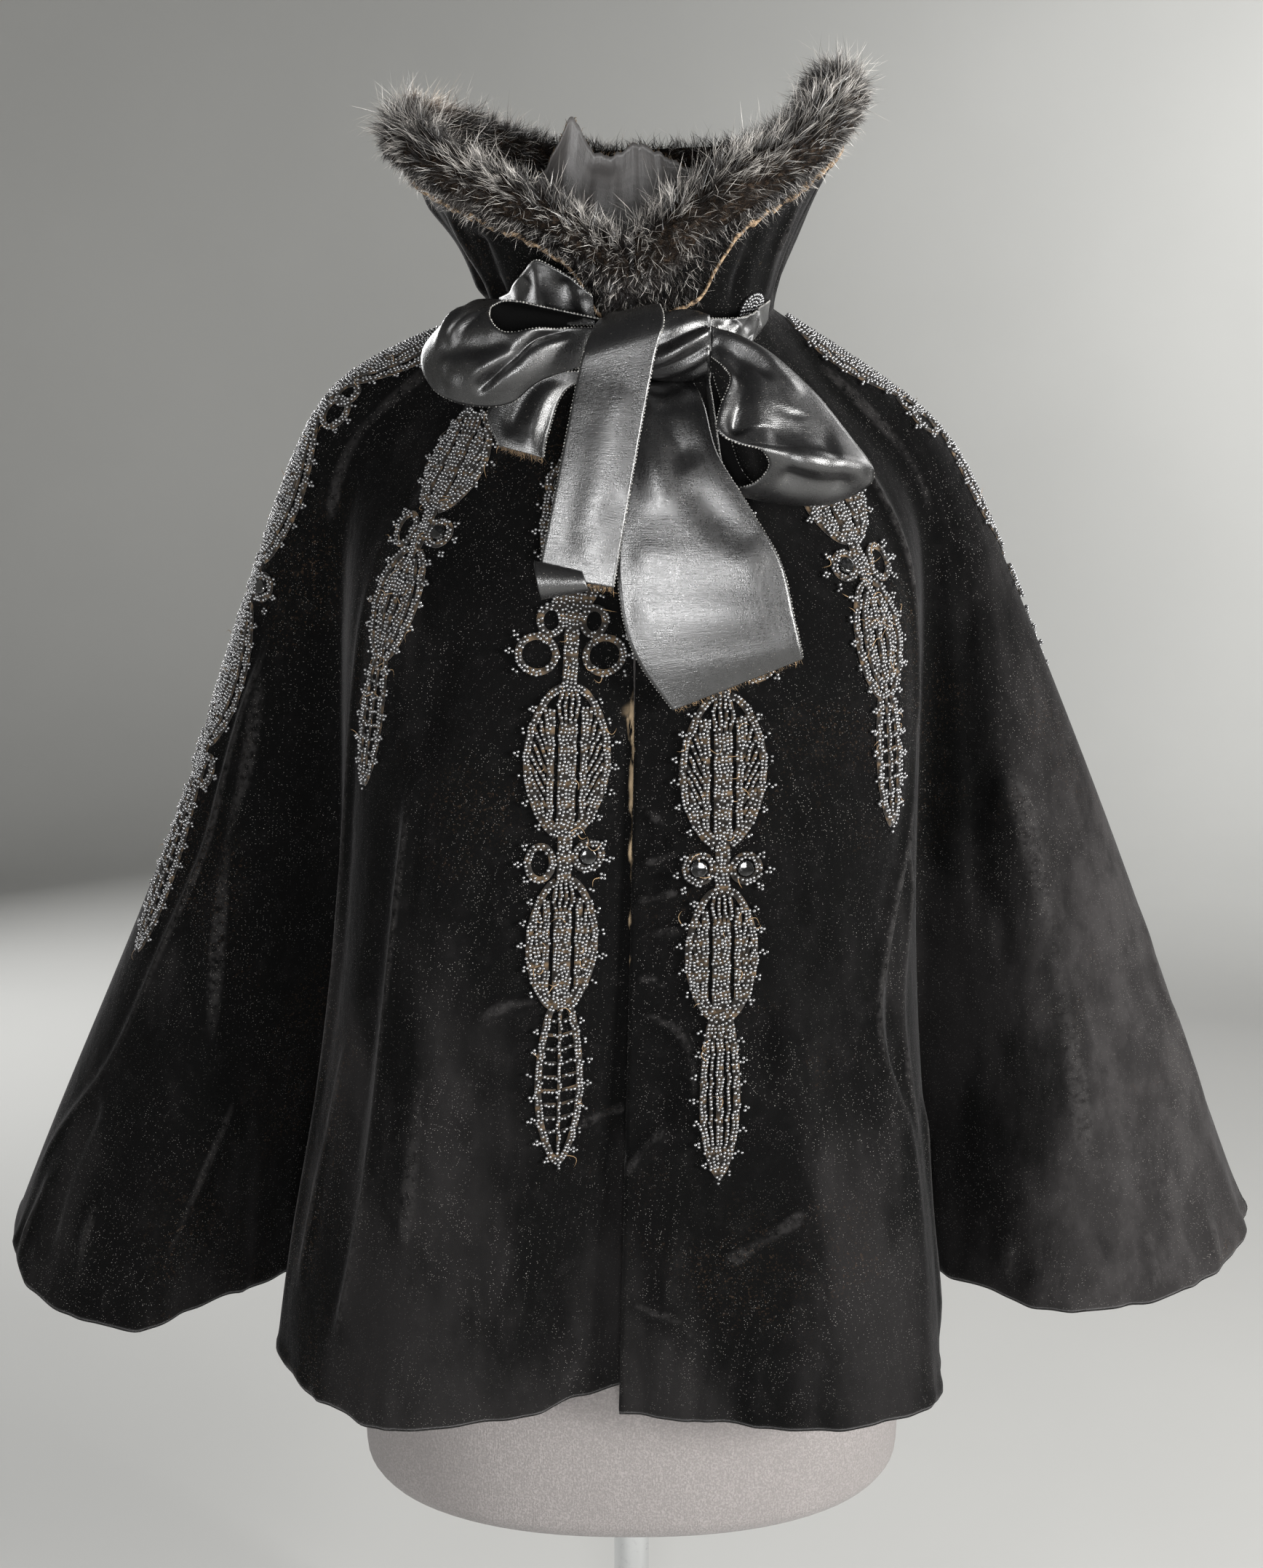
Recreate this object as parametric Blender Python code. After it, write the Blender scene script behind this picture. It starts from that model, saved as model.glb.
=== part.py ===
"""A short velvet cape with a fur-edged stand collar, a ribbon bow and beaded drops, on a dress form.

Metres, +Z up. The front faces -Y. Left and right are the wearer's, so left is +X. The origin is under
the middle of the stand's base.
"""
import math
from collections import namedtuple

import bmesh
import bpy
import numpy as np

# Walls, the gap that keeps neighbouring pieces apart, and the angle past which an edge stays sharp
VELVET = 0.0022
SATIN = 0.0012
SEAM = 0.0004
TRIM_HEIGHT = 0.0028
SHARP_ANGLE = math.radians(50)

# Neck seam: an oval round the neck, lowest in front
NECK_HALF_WIDTH = 0.090
NECK_FRONT = 0.088
NECK_BACK = 0.068
NECK_HEIGHT = 1.054
NECK_SLOPE = 0.018

# Lines down the cape. Each runs from the neck seam, over the place where the cloth bends away from the
# form, to the hem. turn is the angle at the neck from the centre front, in degrees. bow bends the lower
# stretch outwards at its middle. The side seam runs down the cone's tip, and SEAM_INSET and PROBE are parts
# of the step from one line to the next.
Fold = namedtuple("Fold", "name turn bend_x bend_y bend_z hem_x hem_y hem_z bow")
RIGHT_FOLDS = (
    Fold("edge", 0.6, 0.0012, -0.147, 0.850, 0.004, -0.128, 0.378, 0.004),
    Fold("front", 24, -0.060, -0.152, 0.850, -0.070, -0.152, 0.365, 0.004),
    Fold("low point", 44, -0.118, -0.140, 0.855, -0.140, -0.162, 0.361, 0.000),
    Fold("crease", 57, -0.150, -0.112, 0.875, -0.194, -0.132, 0.361, -0.006),
    Fold("fold edge", 67, -0.170, -0.075, 0.905, -0.236, -0.076, 0.370, -0.012),
    Fold("valley", 74, -0.184, -0.040, 0.955, -0.224, 0.014, 0.388, -0.006),
    Fold("cone front", 79, -0.194, -0.030, 0.985, -0.285, -0.048, 0.392, -0.004),
    Fold("cone low", 83, -0.199, -0.022, 0.998, -0.338, -0.074, 0.384, -0.006),
    Fold("cone side", 87, -0.202, -0.014, 1.005, -0.412, -0.038, 0.396, -0.008),
    Fold("cone tip", 91, -0.203, 0.002, 1.009, -0.437, 0.020, 0.428, -0.010),
    Fold("cone rear", 97, -0.202, 0.021, 0.995, -0.405, 0.088, 0.404, 0.000),
)
LEFT_FOLDS = (
    Fold("edge", 0.6, 0.0030, -0.148, 0.850, -0.008, -0.153, 0.367, 0.000),
    Fold("front", 24, 0.060, -0.152, 0.850, 0.060, -0.163, 0.366, 0.000),
    Fold("low point", 44, 0.116, -0.142, 0.855, 0.132, -0.166, 0.363, -0.003),
    Fold("crease", 57, 0.150, -0.118, 0.875, 0.182, -0.142, 0.363, -0.006),
    Fold("fold edge", 67, 0.178, -0.080, 0.905, 0.204, -0.098, 0.362, -0.010),
    Fold("valley", 74, 0.190, -0.040, 0.940, 0.200, 0.008, 0.390, -0.004),
    Fold("cone front", 79, 0.203, -0.030, 0.960, 0.242, -0.038, 0.396, 0.002),
    Fold("cone low", 83, 0.208, -0.022, 0.970, 0.300, -0.076, 0.398, 0.004),
    Fold("cone side", 87, 0.211, -0.010, 0.976, 0.388, -0.052, 0.410, 0.004),
    Fold("cone tip", 91, 0.212, 0.004, 0.980, 0.436, 0.012, 0.430, 0.004),
    Fold("cone rear", 97, 0.206, 0.024, 0.972, 0.402, 0.086, 0.408, 0.000),
)
BACK_FOLDS = (
    Fold("side valley", 107, -0.188, 0.052, 0.965, -0.285, 0.104, 0.394, 0.000),
    Fold("side flute", 124, -0.152, 0.102, 0.935, -0.248, 0.206, 0.374, 0.000),
    Fold("back valley", 143, -0.104, 0.128, 0.925, -0.136, 0.170, 0.374, 0.000),
    Fold("back flute", 161, -0.052, 0.138, 0.920, -0.072, 0.222, 0.366, 0.000),
    Fold("centre back", 180, 0.000, 0.138, 0.920, 0.000, 0.186, 0.366, 0.000),
)
BEND_WEIGHT = 7.0
PANEL_STEP = 0.031
PANEL_ROWS = 15
ROW_CROWDING = 1.25
LINE_SAMPLES = 90
SEAM_INSET = 0.02
PROBE = 0.02

# Collar: its height and flare round the neck, and the radius of the fur along its edge
CollarLine = namedtuple("CollarLine", "turn rise flare fur")
COLLAR_LINES = (
    CollarLine(11, 0.022, 0.010, 0.0125),
    CollarLine(28, 0.050, 0.022, 0.0165),
    CollarLine(48, 0.064, 0.031, 0.0190),
    CollarLine(68, 0.080, 0.047, 0.0215),
    CollarLine(88, 0.088, 0.055, 0.0220),
    CollarLine(112, 0.084, 0.047, 0.0190),
    CollarLine(146, 0.078, 0.041, 0.0160),
    CollarLine(180, 0.074, 0.042, 0.0155),
    CollarLine(214, 0.080, 0.044, 0.0160),
    CollarLine(248, 0.096, 0.043, 0.0190),
    CollarLine(272, 0.108, 0.047, 0.0220),
    CollarLine(292, 0.098, 0.042, 0.0215),
    CollarLine(312, 0.076, 0.032, 0.0190),
    CollarLine(332, 0.052, 0.023, 0.0165),
    CollarLine(349, 0.022, 0.010, 0.0125),
)
COLLAR_CURVE = 1.45
COLLAR_STEPS = 32
COLLAR_ROWS = 5
FUR_STEPS = 40
FUR_SIDES = 8
FUR_OVERHANG = 0.30
FUR_PRESS = 0.93

# Loose lining inside the back of the collar, with its two peaks
LiningLine = namedtuple("LiningLine", "turn rise lean")
LINING_LINES = (
    LiningLine(112, 0.064, 0.010),
    LiningLine(131, 0.080, 0.014),
    LiningLine(145, 0.108, 0.016),
    LiningLine(155, 0.088, 0.018),
    LiningLine(168, 0.082, 0.020),
    LiningLine(182, 0.089, 0.022),
    LiningLine(190, 0.087, 0.022),
    LiningLine(206, 0.080, 0.020),
    LiningLine(224, 0.071, 0.014),
    LiningLine(244, 0.056, 0.010),
)
LINING_STEPS = 19
LINING_ROWS = 4

# Ribbon from the collar's side to the knot: heights on the collar, and the distance out from it
RibbonLine = namedtuple("RibbonLine", "turn low high out")
RIBBON_RIGHT = (
    RibbonLine(58, 0.003, 0.038, 0.0006),
    RibbonLine(42, 0.002, 0.036, 0.0120),
    RibbonLine(26, 0.000, 0.030, 0.0290),
    RibbonLine(10, 0.000, 0.014, 0.0300),
)
RIBBON_LEFT = (
    RibbonLine(294, -0.002, 0.024, 0.0006),
    RibbonLine(310, -0.008, 0.016, 0.0080),
    RibbonLine(326, -0.014, 0.006, 0.0260),
    RibbonLine(339, -0.016, 0.003, 0.0340),
)

# Knot: a gathered band round the middle of the bow
KNOT_CENTRE = (0.022, -0.120, 1.025)
KNOT_LENGTH = 0.046
KNOT_DEPTH = 0.021
KNOT_HEIGHT = 0.019
KNOT_GATHERS = 7
GATHER_DEPTH = 0.0012
KNOT_TAPER = 0.16

# Bow and its tails: the two edges of the ribbon, a and b, at each section along it
Edges = namedtuple("Edges", "ax ay az bx by bz")
LOOP_RIGHT = (
    Edges(-0.0018, -0.134, 1.034, -0.0018, -0.135, 1.020),
    Edges(-0.047, -0.153, 1.034, -0.049, -0.150, 1.006),
    Edges(-0.066, -0.156, 1.031, -0.069, -0.150, 0.992),
    Edges(-0.075, -0.154, 1.033, -0.092, -0.143, 0.991),
    Edges(-0.080, -0.146, 1.039, -0.113, -0.133, 0.999),
    Edges(-0.081, -0.138, 1.044, -0.122, -0.123, 1.015),
    Edges(-0.079, -0.131, 1.048, -0.117, -0.115, 1.030),
    Edges(-0.070, -0.127, 1.051, -0.097, -0.112, 1.036),
    Edges(-0.050, -0.127, 1.047, -0.060, -0.114, 1.032),
    Edges(-0.0018, -0.118, 1.037, -0.0018, -0.116, 1.024),
)
LOOP_LEFT = (
    Edges(0.0458, -0.135, 1.019, 0.0458, -0.132, 1.036),
    Edges(0.056, -0.153, 1.007, 0.080, -0.133, 1.020),
    Edges(0.050, -0.164, 0.990, 0.104, -0.133, 1.000),
    Edges(0.048, -0.170, 0.977, 0.123, -0.134, 0.978),
    Edges(0.059, -0.172, 0.970, 0.136, -0.136, 0.961),
    Edges(0.073, -0.170, 0.966, 0.141, -0.134, 0.953),
    Edges(0.078, -0.162, 0.957, 0.137, -0.130, 0.944),
    Edges(0.070, -0.152, 0.947, 0.113, -0.126, 0.934),
    Edges(0.056, -0.144, 0.945, 0.083, -0.124, 0.940),
    Edges(0.052, -0.137, 0.957, 0.064, -0.122, 0.955),
    Edges(0.048, -0.128, 0.990, 0.053, -0.118, 0.992),
    Edges(0.0458, -0.122, 1.010, 0.0458, -0.116, 1.014),
)
TAIL_FRONT = (
    Edges(-0.010, -0.121, 1.0443, 0.014, -0.121, 1.0456),
    Edges(-0.020, -0.143, 1.042, 0.016, -0.143, 1.046),
    Edges(-0.026, -0.162, 1.028, 0.018, -0.162, 1.033),
    Edges(-0.031, -0.165, 1.004, 0.012, -0.165, 1.011),
    Edges(-0.042, -0.173, 0.948, -0.001, -0.173, 0.942),
    Edges(-0.053, -0.176, 0.896, -0.010, -0.176, 0.889),
)
TAIL_LONG = (
    Edges(0.010, -0.120, 1.0040, 0.036, -0.120, 1.0040),
    Edges(0.005, -0.138, 0.994, 0.042, -0.138, 0.990),
    Edges(0.002, -0.150, 0.965, 0.049, -0.148, 0.964),
    Edges(-0.004, -0.157, 0.933, 0.068, -0.153, 0.933),
    Edges(-0.008, -0.161, 0.900, 0.086, -0.156, 0.902),
    Edges(-0.004, -0.162, 0.866, 0.094, -0.157, 0.871),
    Edges(0.005, -0.162, 0.843, 0.098, -0.157, 0.855),
    Edges(0.024, -0.162, 0.816, 0.100, -0.157, 0.846),
)
TAIL_SHORT = (
    Edges(-0.002, -0.126, 1.010, -0.0015, -0.118, 1.009),
    Edges(-0.060, -0.128, 1.008, -0.036, -0.124, 1.002),
    Edges(-0.083, -0.132, 0.989, -0.048, -0.132, 0.976),
    Edges(-0.077, -0.137, 0.968, -0.051, -0.138, 0.961),
)
LOOP_SECTIONS = 26
TAIL_SECTIONS = 12
RIBBON_SECTIONS = 10
RIBBON_ACROSS = 4

# Beaded drops: lobes along each, from the neck downwards. A pierced lobe has a slot on each side of its
# core.
Lobe = namedtuple("Lobe", "length half_width pierced")
CENTRE_LOBES = (
    Lobe(0.100, 0.023, True),
    Lobe(0.046, 0.033, True),
    Lobe(0.088, 0.026, True),
    Lobe(0.028, 0.024, True),
    Lobe(0.078, 0.024, True),
    Lobe(0.100, 0.015, False),
)
SIDE_LOBES = (
    Lobe(0.066, 0.024, True),
    Lobe(0.028, 0.024, True),
    Lobe(0.068, 0.020, True),
    Lobe(0.080, 0.012, False),
)
SHOULDER_LOBES = (
    Lobe(0.090, 0.025, True),
    Lobe(0.032, 0.026, True),
    Lobe(0.096, 0.022, True),
    Lobe(0.030, 0.022, True),
    Lobe(0.096, 0.021, True),
    Lobe(0.028, 0.018, True),
    Lobe(0.124, 0.013, False),
)
# line is the place across the cape, counted in folds from the front edge. start is the way down from the
# neck. lift is the gap under the backing, which bridges the round of the shoulder.
Drop = namedtuple("Drop", "side line end_line start lift lobes")
DROPS = {
    "drop_centre_right": Drop("right", 0.63, 0.71, 0.072, 0.0008, CENTRE_LOBES),
    "drop_centre_left": Drop("left", 0.92, 0.90, 0.080, 0.0008, CENTRE_LOBES),
    "drop_side_right": Drop("right", 2.65, 3.25, 0.064, 0.0008, SIDE_LOBES),
    "drop_side_left": Drop("left", 3.00, 3.10, 0.088, 0.0008, SIDE_LOBES),
    "drop_shoulder_right": Drop("right", 8.30, 8.25, 0.012, 0.0017, SHOULDER_LOBES),
    "drop_shoulder_left": Drop("left", 8.60, 10.40, 0.012, 0.0022, SHOULDER_LOBES),
}
STATION = 0.0155
WAIST = 0.0085
TIP = 0.0030
STRAND = 0.0048
STRAND_SHARE = 0.32
CORE_SHARE = 0.46
LEAST_GAP = 0.004
LOBE_FULLNESS = 0.7

# Dress form: rings from its flat underside to the top of the neck
FormRing = namedtuple("FormRing", "height half_width front back")
FORM_RINGS = (
    FormRing(0.262, 0.172, 0.118, 0.112),
    FormRing(0.270, 0.184, 0.129, 0.121),
    FormRing(0.288, 0.188, 0.132, 0.124),
    FormRing(0.360, 0.185, 0.121, 0.126),
    FormRing(0.450, 0.170, 0.110, 0.118),
    FormRing(0.560, 0.136, 0.095, 0.094),
    FormRing(0.630, 0.124, 0.088, 0.084),
    FormRing(0.720, 0.136, 0.104, 0.090),
    FormRing(0.800, 0.148, 0.126, 0.098),
    FormRing(0.860, 0.154, 0.120, 0.102),
    FormRing(0.920, 0.160, 0.092, 0.098),
    FormRing(0.960, 0.162, 0.068, 0.084),
    FormRing(0.985, 0.159, 0.060, 0.070),
    FormRing(1.003, 0.145, 0.0535, 0.060),
    FormRing(1.016, 0.118, 0.044, 0.054),
    FormRing(1.028, 0.092, 0.044, 0.052),
    FormRing(1.044, 0.066, 0.044, 0.050),
    FormRing(1.064, 0.054, 0.044, 0.048),
    FormRing(1.078, 0.050, 0.041, 0.045),
    FormRing(1.083, 0.042, 0.034, 0.038),
)
FORM_SIDES = 28
FORM_SQUARENESS = 2.25

# Stand
POLE_RADIUS = 0.0127
POLE_SIDES = 20
BASE_RADIUS = 0.155
BASE_THICKNESS = 0.012
BASE_EDGE = 0.004
BASE_SIDES = 40


def clear_scene():
    """Takes every object out of the scene."""
    for old in list(bpy.data.objects):
        bpy.data.objects.remove(old, do_unlink=True)


def finish(name, bm, colour, roughness, metallic=0.0):
    """Makes a named object with its own material from a finished mesh."""
    bmesh.ops.recalc_face_normals(bm, faces=bm.faces)
    mesh = bpy.data.meshes.new(name)
    bm.to_mesh(mesh)
    bm.free()
    mesh.shade_smooth()
    mesh.set_sharp_from_angle(angle=SHARP_ANGLE)
    material = bpy.data.materials.new(name + "_finish")
    material.use_nodes = True
    shader = material.node_tree.nodes["Principled BSDF"]
    shader.inputs["Base Color"].default_value = (*colour, 1.0)
    shader.inputs["Roughness"].default_value = roughness
    shader.inputs["Metallic"].default_value = metallic
    mesh.materials.append(material)
    piece = bpy.data.objects.new(name, mesh)
    bpy.context.scene.collection.objects.link(piece)
    return piece


def velvet(name, bm):
    """Black pile cloth."""
    return finish(name, bm, (0.010, 0.009, 0.009), 0.85)


def satin(name, bm):
    """Black satin ribbon and lining."""
    return finish(name, bm, (0.018, 0.018, 0.019), 0.32)


def blend(rows, place):
    """Values between the rows of a table, on a smooth curve through them."""
    first = min(max(int(place), 0), len(rows) - 2)
    f = place - first
    before, here = rows[max(first - 1, 0)], rows[first]
    after, beyond = rows[first + 1], rows[min(first + 2, len(rows) - 1)]
    bend = 2 * before - 5 * here + 4 * after - beyond
    turn = 3 * here - before - 3 * after + beyond
    return 0.5 * (2 * here + (after - before) * f + bend * f * f + turn * f ** 3)


def numbers(table, skip=0):
    """A table's columns as rows of numbers, without its first columns of names."""
    return [np.array(row[skip:], dtype=float) for row in table]


def spread(rows, count):
    """A table read at evenly spaced places from its first row to its last."""
    return [blend(rows, place) for place in np.linspace(0, len(rows) - 1, count)]


def unit(vectors):
    """Vectors of length one."""
    return vectors / np.linalg.norm(vectors, axis=-1, keepdims=True)


def neck_point(turn):
    """A point on the neck seam, turn degrees round from the centre front by the wearer's right."""
    angle = math.radians(turn)
    depth = NECK_FRONT if math.cos(angle) > 0 else NECK_BACK
    height = NECK_HEIGHT - NECK_SLOPE * math.cos(angle)
    return np.array([-NECK_HALF_WIDTH * math.sin(angle), -depth * math.cos(angle), height])


def mirrored(fold):
    """A fold of the right side on the left."""
    return fold._replace(turn=360 - fold.turn, bend_x=-fold.bend_x, hem_x=-fold.hem_x)


def all_folds():
    """The lines of the cape in order: right front, round the back, left front."""
    left_back = [mirrored(fold) for fold in reversed(BACK_FOLDS[:-1])]
    left = [fold._replace(turn=360 - fold.turn) for fold in reversed(LEFT_FOLDS)]
    return list(RIGHT_FOLDS) + list(BACK_FOLDS) + left_back + left


CAPE = numbers(all_folds(), skip=1)
LAST_LINE = len(CAPE) - 1
RIGHT_SEAM = len(RIGHT_FOLDS) - 2
LEFT_SEAM = LAST_LINE - (len(LEFT_FOLDS) - 2)


def line_points(line):
    """Points down one line of the cape, and the length of cloth down to each."""
    turn, bend_x, bend_y, bend_z, hem_x, hem_y, hem_z, bow = blend(CAPE, line)
    neck = neck_point(turn)
    bend = np.array([bend_x, bend_y, bend_z])
    hem = np.array([hem_x, hem_y, hem_z])
    t = np.linspace(0, 1, LINE_SAMPLES)[:, None]
    pull = 2 * BEND_WEIGHT * t * (1 - t)
    points = ((1 - t) ** 2 * neck + pull * bend + t ** 2 * hem) / ((1 - t) ** 2 + pull + t ** 2)
    outward = unit(np.array([bend_x + hem_x, bend_y + hem_y, 0.0]))
    fallen = np.clip((bend_z - points[:, 2:]) / (bend_z - hem_z), 0, 1)
    points = points + outward * bow * np.sin(np.pi * fallen) ** 2
    steps = np.linalg.norm(np.diff(points, axis=0), axis=1)
    return points, np.concatenate([[0.0], np.cumsum(steps)])


def cape_point(line, share):
    """The cape's outer face at a line, a share of the way from the neck to the hem."""
    points, lengths = line_points(line)
    return np.array([np.interp(share * lengths[-1], lengths, points[:, axis]) for axis in range(3)])


def cape_frame(line, share):
    """The outer face's point, its outward normal and the length of one step of line there."""
    low, high = max(line - PROBE, 0), min(line + PROBE, LAST_LINE)
    top, bottom = max(share - PROBE, 0), min(share + PROBE, 1)
    across = cape_point(high, share) - cape_point(low, share)
    down = cape_point(line, bottom) - cape_point(line, top)
    return cape_point(line, share), unit(np.cross(across, down)), np.linalg.norm(across) / (high - low)


def wall(outer, inner, closed=False):
    """A closed wall between two grids of points. A closed one joins its last line to its first."""
    lines, rows = len(outer), len(outer[0])
    bm = bmesh.new()
    out = [[bm.verts.new(point) for point in line] for line in outer]
    ins = [[bm.verts.new(point) for point in line] for line in inner]
    for i in range(lines if closed else lines - 1):
        k = (i + 1) % lines
        for j in range(rows - 1):
            bm.faces.new((out[i][j], out[k][j], out[k][j + 1], out[i][j + 1]))
            bm.faces.new((ins[i][j], ins[i][j + 1], ins[k][j + 1], ins[k][j]))
        for j in (0, rows - 1):
            bm.faces.new((out[i][j], ins[i][j], ins[k][j], out[k][j]))
    for i in () if closed else (0, lines - 1):
        for j in range(rows - 1):
            bm.faces.new((out[i][j], out[i][j + 1], ins[i][j + 1], ins[i][j]))
    return bm


def sheet_wall(points, thickness, closed=False):
    """A wall of even thickness about a sheet of points."""
    grid = np.array(points)
    ends = np.concatenate([grid[-1:], grid, grid[:1]]) if closed else grid
    across = np.gradient(ends, axis=0)
    across = across[1:-1] if closed else across
    normals = unit(np.cross(across, np.gradient(grid, axis=1)))
    half = normals * thickness / 2
    return wall(grid + half, grid - half, closed)


def solid(rings):
    """A closed solid through rings of points, with flat ends."""
    bm = bmesh.new()
    loops = [[bm.verts.new(point) for point in ring] for ring in rings]
    for low, high in zip(loops, loops[1:]):
        for k in range(len(low)):
            n = (k + 1) % len(low)
            bm.faces.new((low[k], low[n], high[n], high[k]))
    bm.faces.new(loops[0])
    bm.faces.new(loops[-1])
    return bm


def panel_lines(first, last):
    """Places across a panel: on every fold, and evenly between folds by their distance at the hem."""
    lines = [float(first)]
    for fold in range(first, last):
        gap = np.linalg.norm(cape_point(fold + 1, 1.0) - cape_point(fold, 1.0))
        count = max(2, round(gap / PANEL_STEP))
        lines += [fold + (k + 1) / count for k in range(count)]
    return lines


def cape_panel(name, first, last, inset_first, inset_last):
    """One velvet piece of the cape. Its insets leave the seam open by a hair."""
    lines = panel_lines(first, last)
    lines[0] += inset_first
    lines[-1] -= inset_last
    shares = [(k / PANEL_ROWS) ** ROW_CROWDING for k in range(PANEL_ROWS + 1)]
    outer, inner = [], []
    for line in lines:
        frames = [cape_frame(line, share) for share in shares]
        outer.append([point for point, normal, reach in frames])
        inner.append([point - VELVET * normal for point, normal, reach in frames])
    return velvet(name, wall(outer, inner))


def make_cape():
    """The two fronts and the back."""
    cape_panel("front_right", 0, RIGHT_SEAM, 0.0, SEAM_INSET)
    cape_panel("back", RIGHT_SEAM, LEFT_SEAM, SEAM_INSET, SEAM_INSET)
    cape_panel("front_left", LEFT_SEAM, LAST_LINE, SEAM_INSET, 0.0)


def collar_point(turn, rise, flare, share, out=0.0):
    """A point on the collar, a share of the way up it and moved out from it."""
    base = neck_point(turn)
    outward = unit(base * (1.0, 1.0, 0.0))
    up = np.array([0.0, 0.0, 1.0])
    foot = 2 * SEAM
    return base + outward * (flare * share ** COLLAR_CURVE + out) + up * (foot + rise * share)


def make_collar():
    """The flared stand collar."""
    shares = np.linspace(0, 1, COLLAR_ROWS + 1)
    lines = spread(numbers(COLLAR_LINES), COLLAR_STEPS)
    points = [[collar_point(turn, rise, flare, s) for s in shares] for turn, rise, flare, fur in lines]
    velvet("collar", sheet_wall(points, VELVET))


def make_fur():
    """The fur strip: a soft roll against the inner face of the collar's edge, standing above it."""
    rings = []
    lines = spread(numbers(COLLAR_LINES), FUR_STEPS)
    edge = np.array([collar_point(turn, rise, flare, 1.0) for turn, rise, flare, fur in lines])
    below = np.array([collar_point(turn, rise, flare, 0.8) for turn, rise, flare, fur in lines])
    along = unit(np.gradient(edge, axis=0))
    up = unit(edge - below)
    inward = unit(np.cross(along, up))
    inward *= np.sign(-np.sum(inward[:, :2] * edge[:, :2], axis=1))[:, None]
    for k, (turn, rise, flare, fur) in enumerate(lines):
        centre = edge[k] + inward[k] * (FUR_PRESS * fur + VELVET / 2 + SEAM) + up[k] * fur * FUR_OVERHANG
        ring = []
        for side in range(FUR_SIDES):
            angle = 2 * math.pi * side / FUR_SIDES
            ring.append(centre + fur * (math.cos(angle) * inward[k] + math.sin(angle) * up[k]))
        rings.append(ring)
    finish("fur_trim", solid(rings), (0.045, 0.038, 0.034), 0.9)


def make_lining():
    """The loose satin lining that stands up inside the back of the collar."""
    shares = np.linspace(0, 1, LINING_ROWS + 1)
    points = []
    for turn, rise, lean in spread(numbers(LINING_LINES), LINING_STEPS):
        foot = -(VELVET / 2 + SATIN / 2 + 2 * SEAM)
        points.append([collar_point(turn, rise, -lean, s, foot) for s in shares])
    satin("collar_lining", sheet_wall(points, SATIN))


def collar_shape(turn):
    """The collar's rise and flare at an angle round the neck."""
    turns = [line.turn for line in COLLAR_LINES]
    rise = np.interp(turn, turns, [line.rise for line in COLLAR_LINES])
    flare = np.interp(turn, turns, [line.flare for line in COLLAR_LINES])
    return rise, flare


def make_neck_ribbon(name, table):
    """A ribbon end that lies outside the collar's foot and runs to the knot."""
    points = []
    for turn, low, high, out in spread(numbers(table), RIBBON_SECTIONS):
        rise, flare = collar_shape(turn)
        shares = [max(height / rise, 0) for height in np.linspace(low, high, RIBBON_ACROSS + 1)]
        drops = [min(height, 0) for height in np.linspace(low, high, RIBBON_ACROSS + 1)]
        points.append([collar_point(turn, rise, flare, share, VELVET + out) + np.array([0.0, 0.0, drop])
                       for share, drop in zip(shares, drops)])
    satin(name, sheet_wall(points, SATIN))


def make_knot():
    """The knot: a gathered band of ribbon."""
    points = []
    around = 4 * KNOT_GATHERS
    for k in range(around):
        angle = 2 * math.pi * k / around
        swell = 1 + GATHER_DEPTH / KNOT_HEIGHT * math.cos(KNOT_GATHERS * angle)
        line = []
        for along in np.linspace(-0.5, 0.5, RIBBON_ACROSS + 1):
            waist = swell * (1 - KNOT_TAPER * (2 * along) ** 2)
            line.append(np.array(KNOT_CENTRE) + np.array([
                KNOT_LENGTH * along,
                KNOT_DEPTH * waist * math.cos(angle),
                KNOT_HEIGHT * waist * math.sin(angle)]))
        points.append(line)
    satin("bow_knot", sheet_wall(points, SATIN, closed=True))


def make_ribbon(name, table, sections):
    """A stretch of ribbon between its two edges."""
    points = []
    for row in spread(numbers(table), sections):
        a, b = row[:3], row[3:]
        points.append([a + (b - a) * f for f in np.linspace(0, 1, RIBBON_ACROSS + 1)])
    satin(name, sheet_wall(points, SATIN))


def make_bow():
    """The bow, its tails and the ribbon ends at the neck."""
    make_neck_ribbon("ribbon_right", RIBBON_RIGHT)
    make_neck_ribbon("ribbon_left", RIBBON_LEFT)
    make_knot()
    make_ribbon("bow_loop_right", LOOP_RIGHT, LOOP_SECTIONS)
    make_ribbon("bow_loop_left", LOOP_LEFT, LOOP_SECTIONS)
    make_ribbon("tail_front", TAIL_FRONT, TAIL_SECTIONS)
    make_ribbon("tail_long", TAIL_LONG, TAIL_SECTIONS)
    make_ribbon("tail_short", TAIL_SHORT, TAIL_SECTIONS)


def drop_sections(lobes):
    """Sections along a drop: the way down it, its half width, and if the stretch after it is pierced."""
    sections = []
    way = 0.0
    for number, lobe in enumerate(lobes):
        last = number == len(lobes) - 1
        end_width = TIP if last else WAIST
        fractions = np.linspace(0, 1, max(3, round(lobe.length / STATION)) + 1)
        for fraction, following in zip(fractions, fractions[1:]):
            waist = WAIST + (end_width - WAIST) * fraction
            half = waist + (lobe.half_width - waist) * math.sin(math.pi * fraction) ** LOBE_FULLNESS
            inner_stretch = fraction > 0 and following < 1
            sections.append((way + lobe.length * fraction, half, lobe.pierced and inner_stretch))
        way += lobe.length
    sections.append((way, TIP, False))
    return sections


def drop_columns(half):
    """Places across a drop: an outer strand, a slot, the two halves of the core, a slot and a strand."""
    strand = min(STRAND, STRAND_SHARE * half)
    core = CORE_SHARE * half
    return [-half, strand - half, -core, 0.0, core, half - strand, half]


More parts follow.
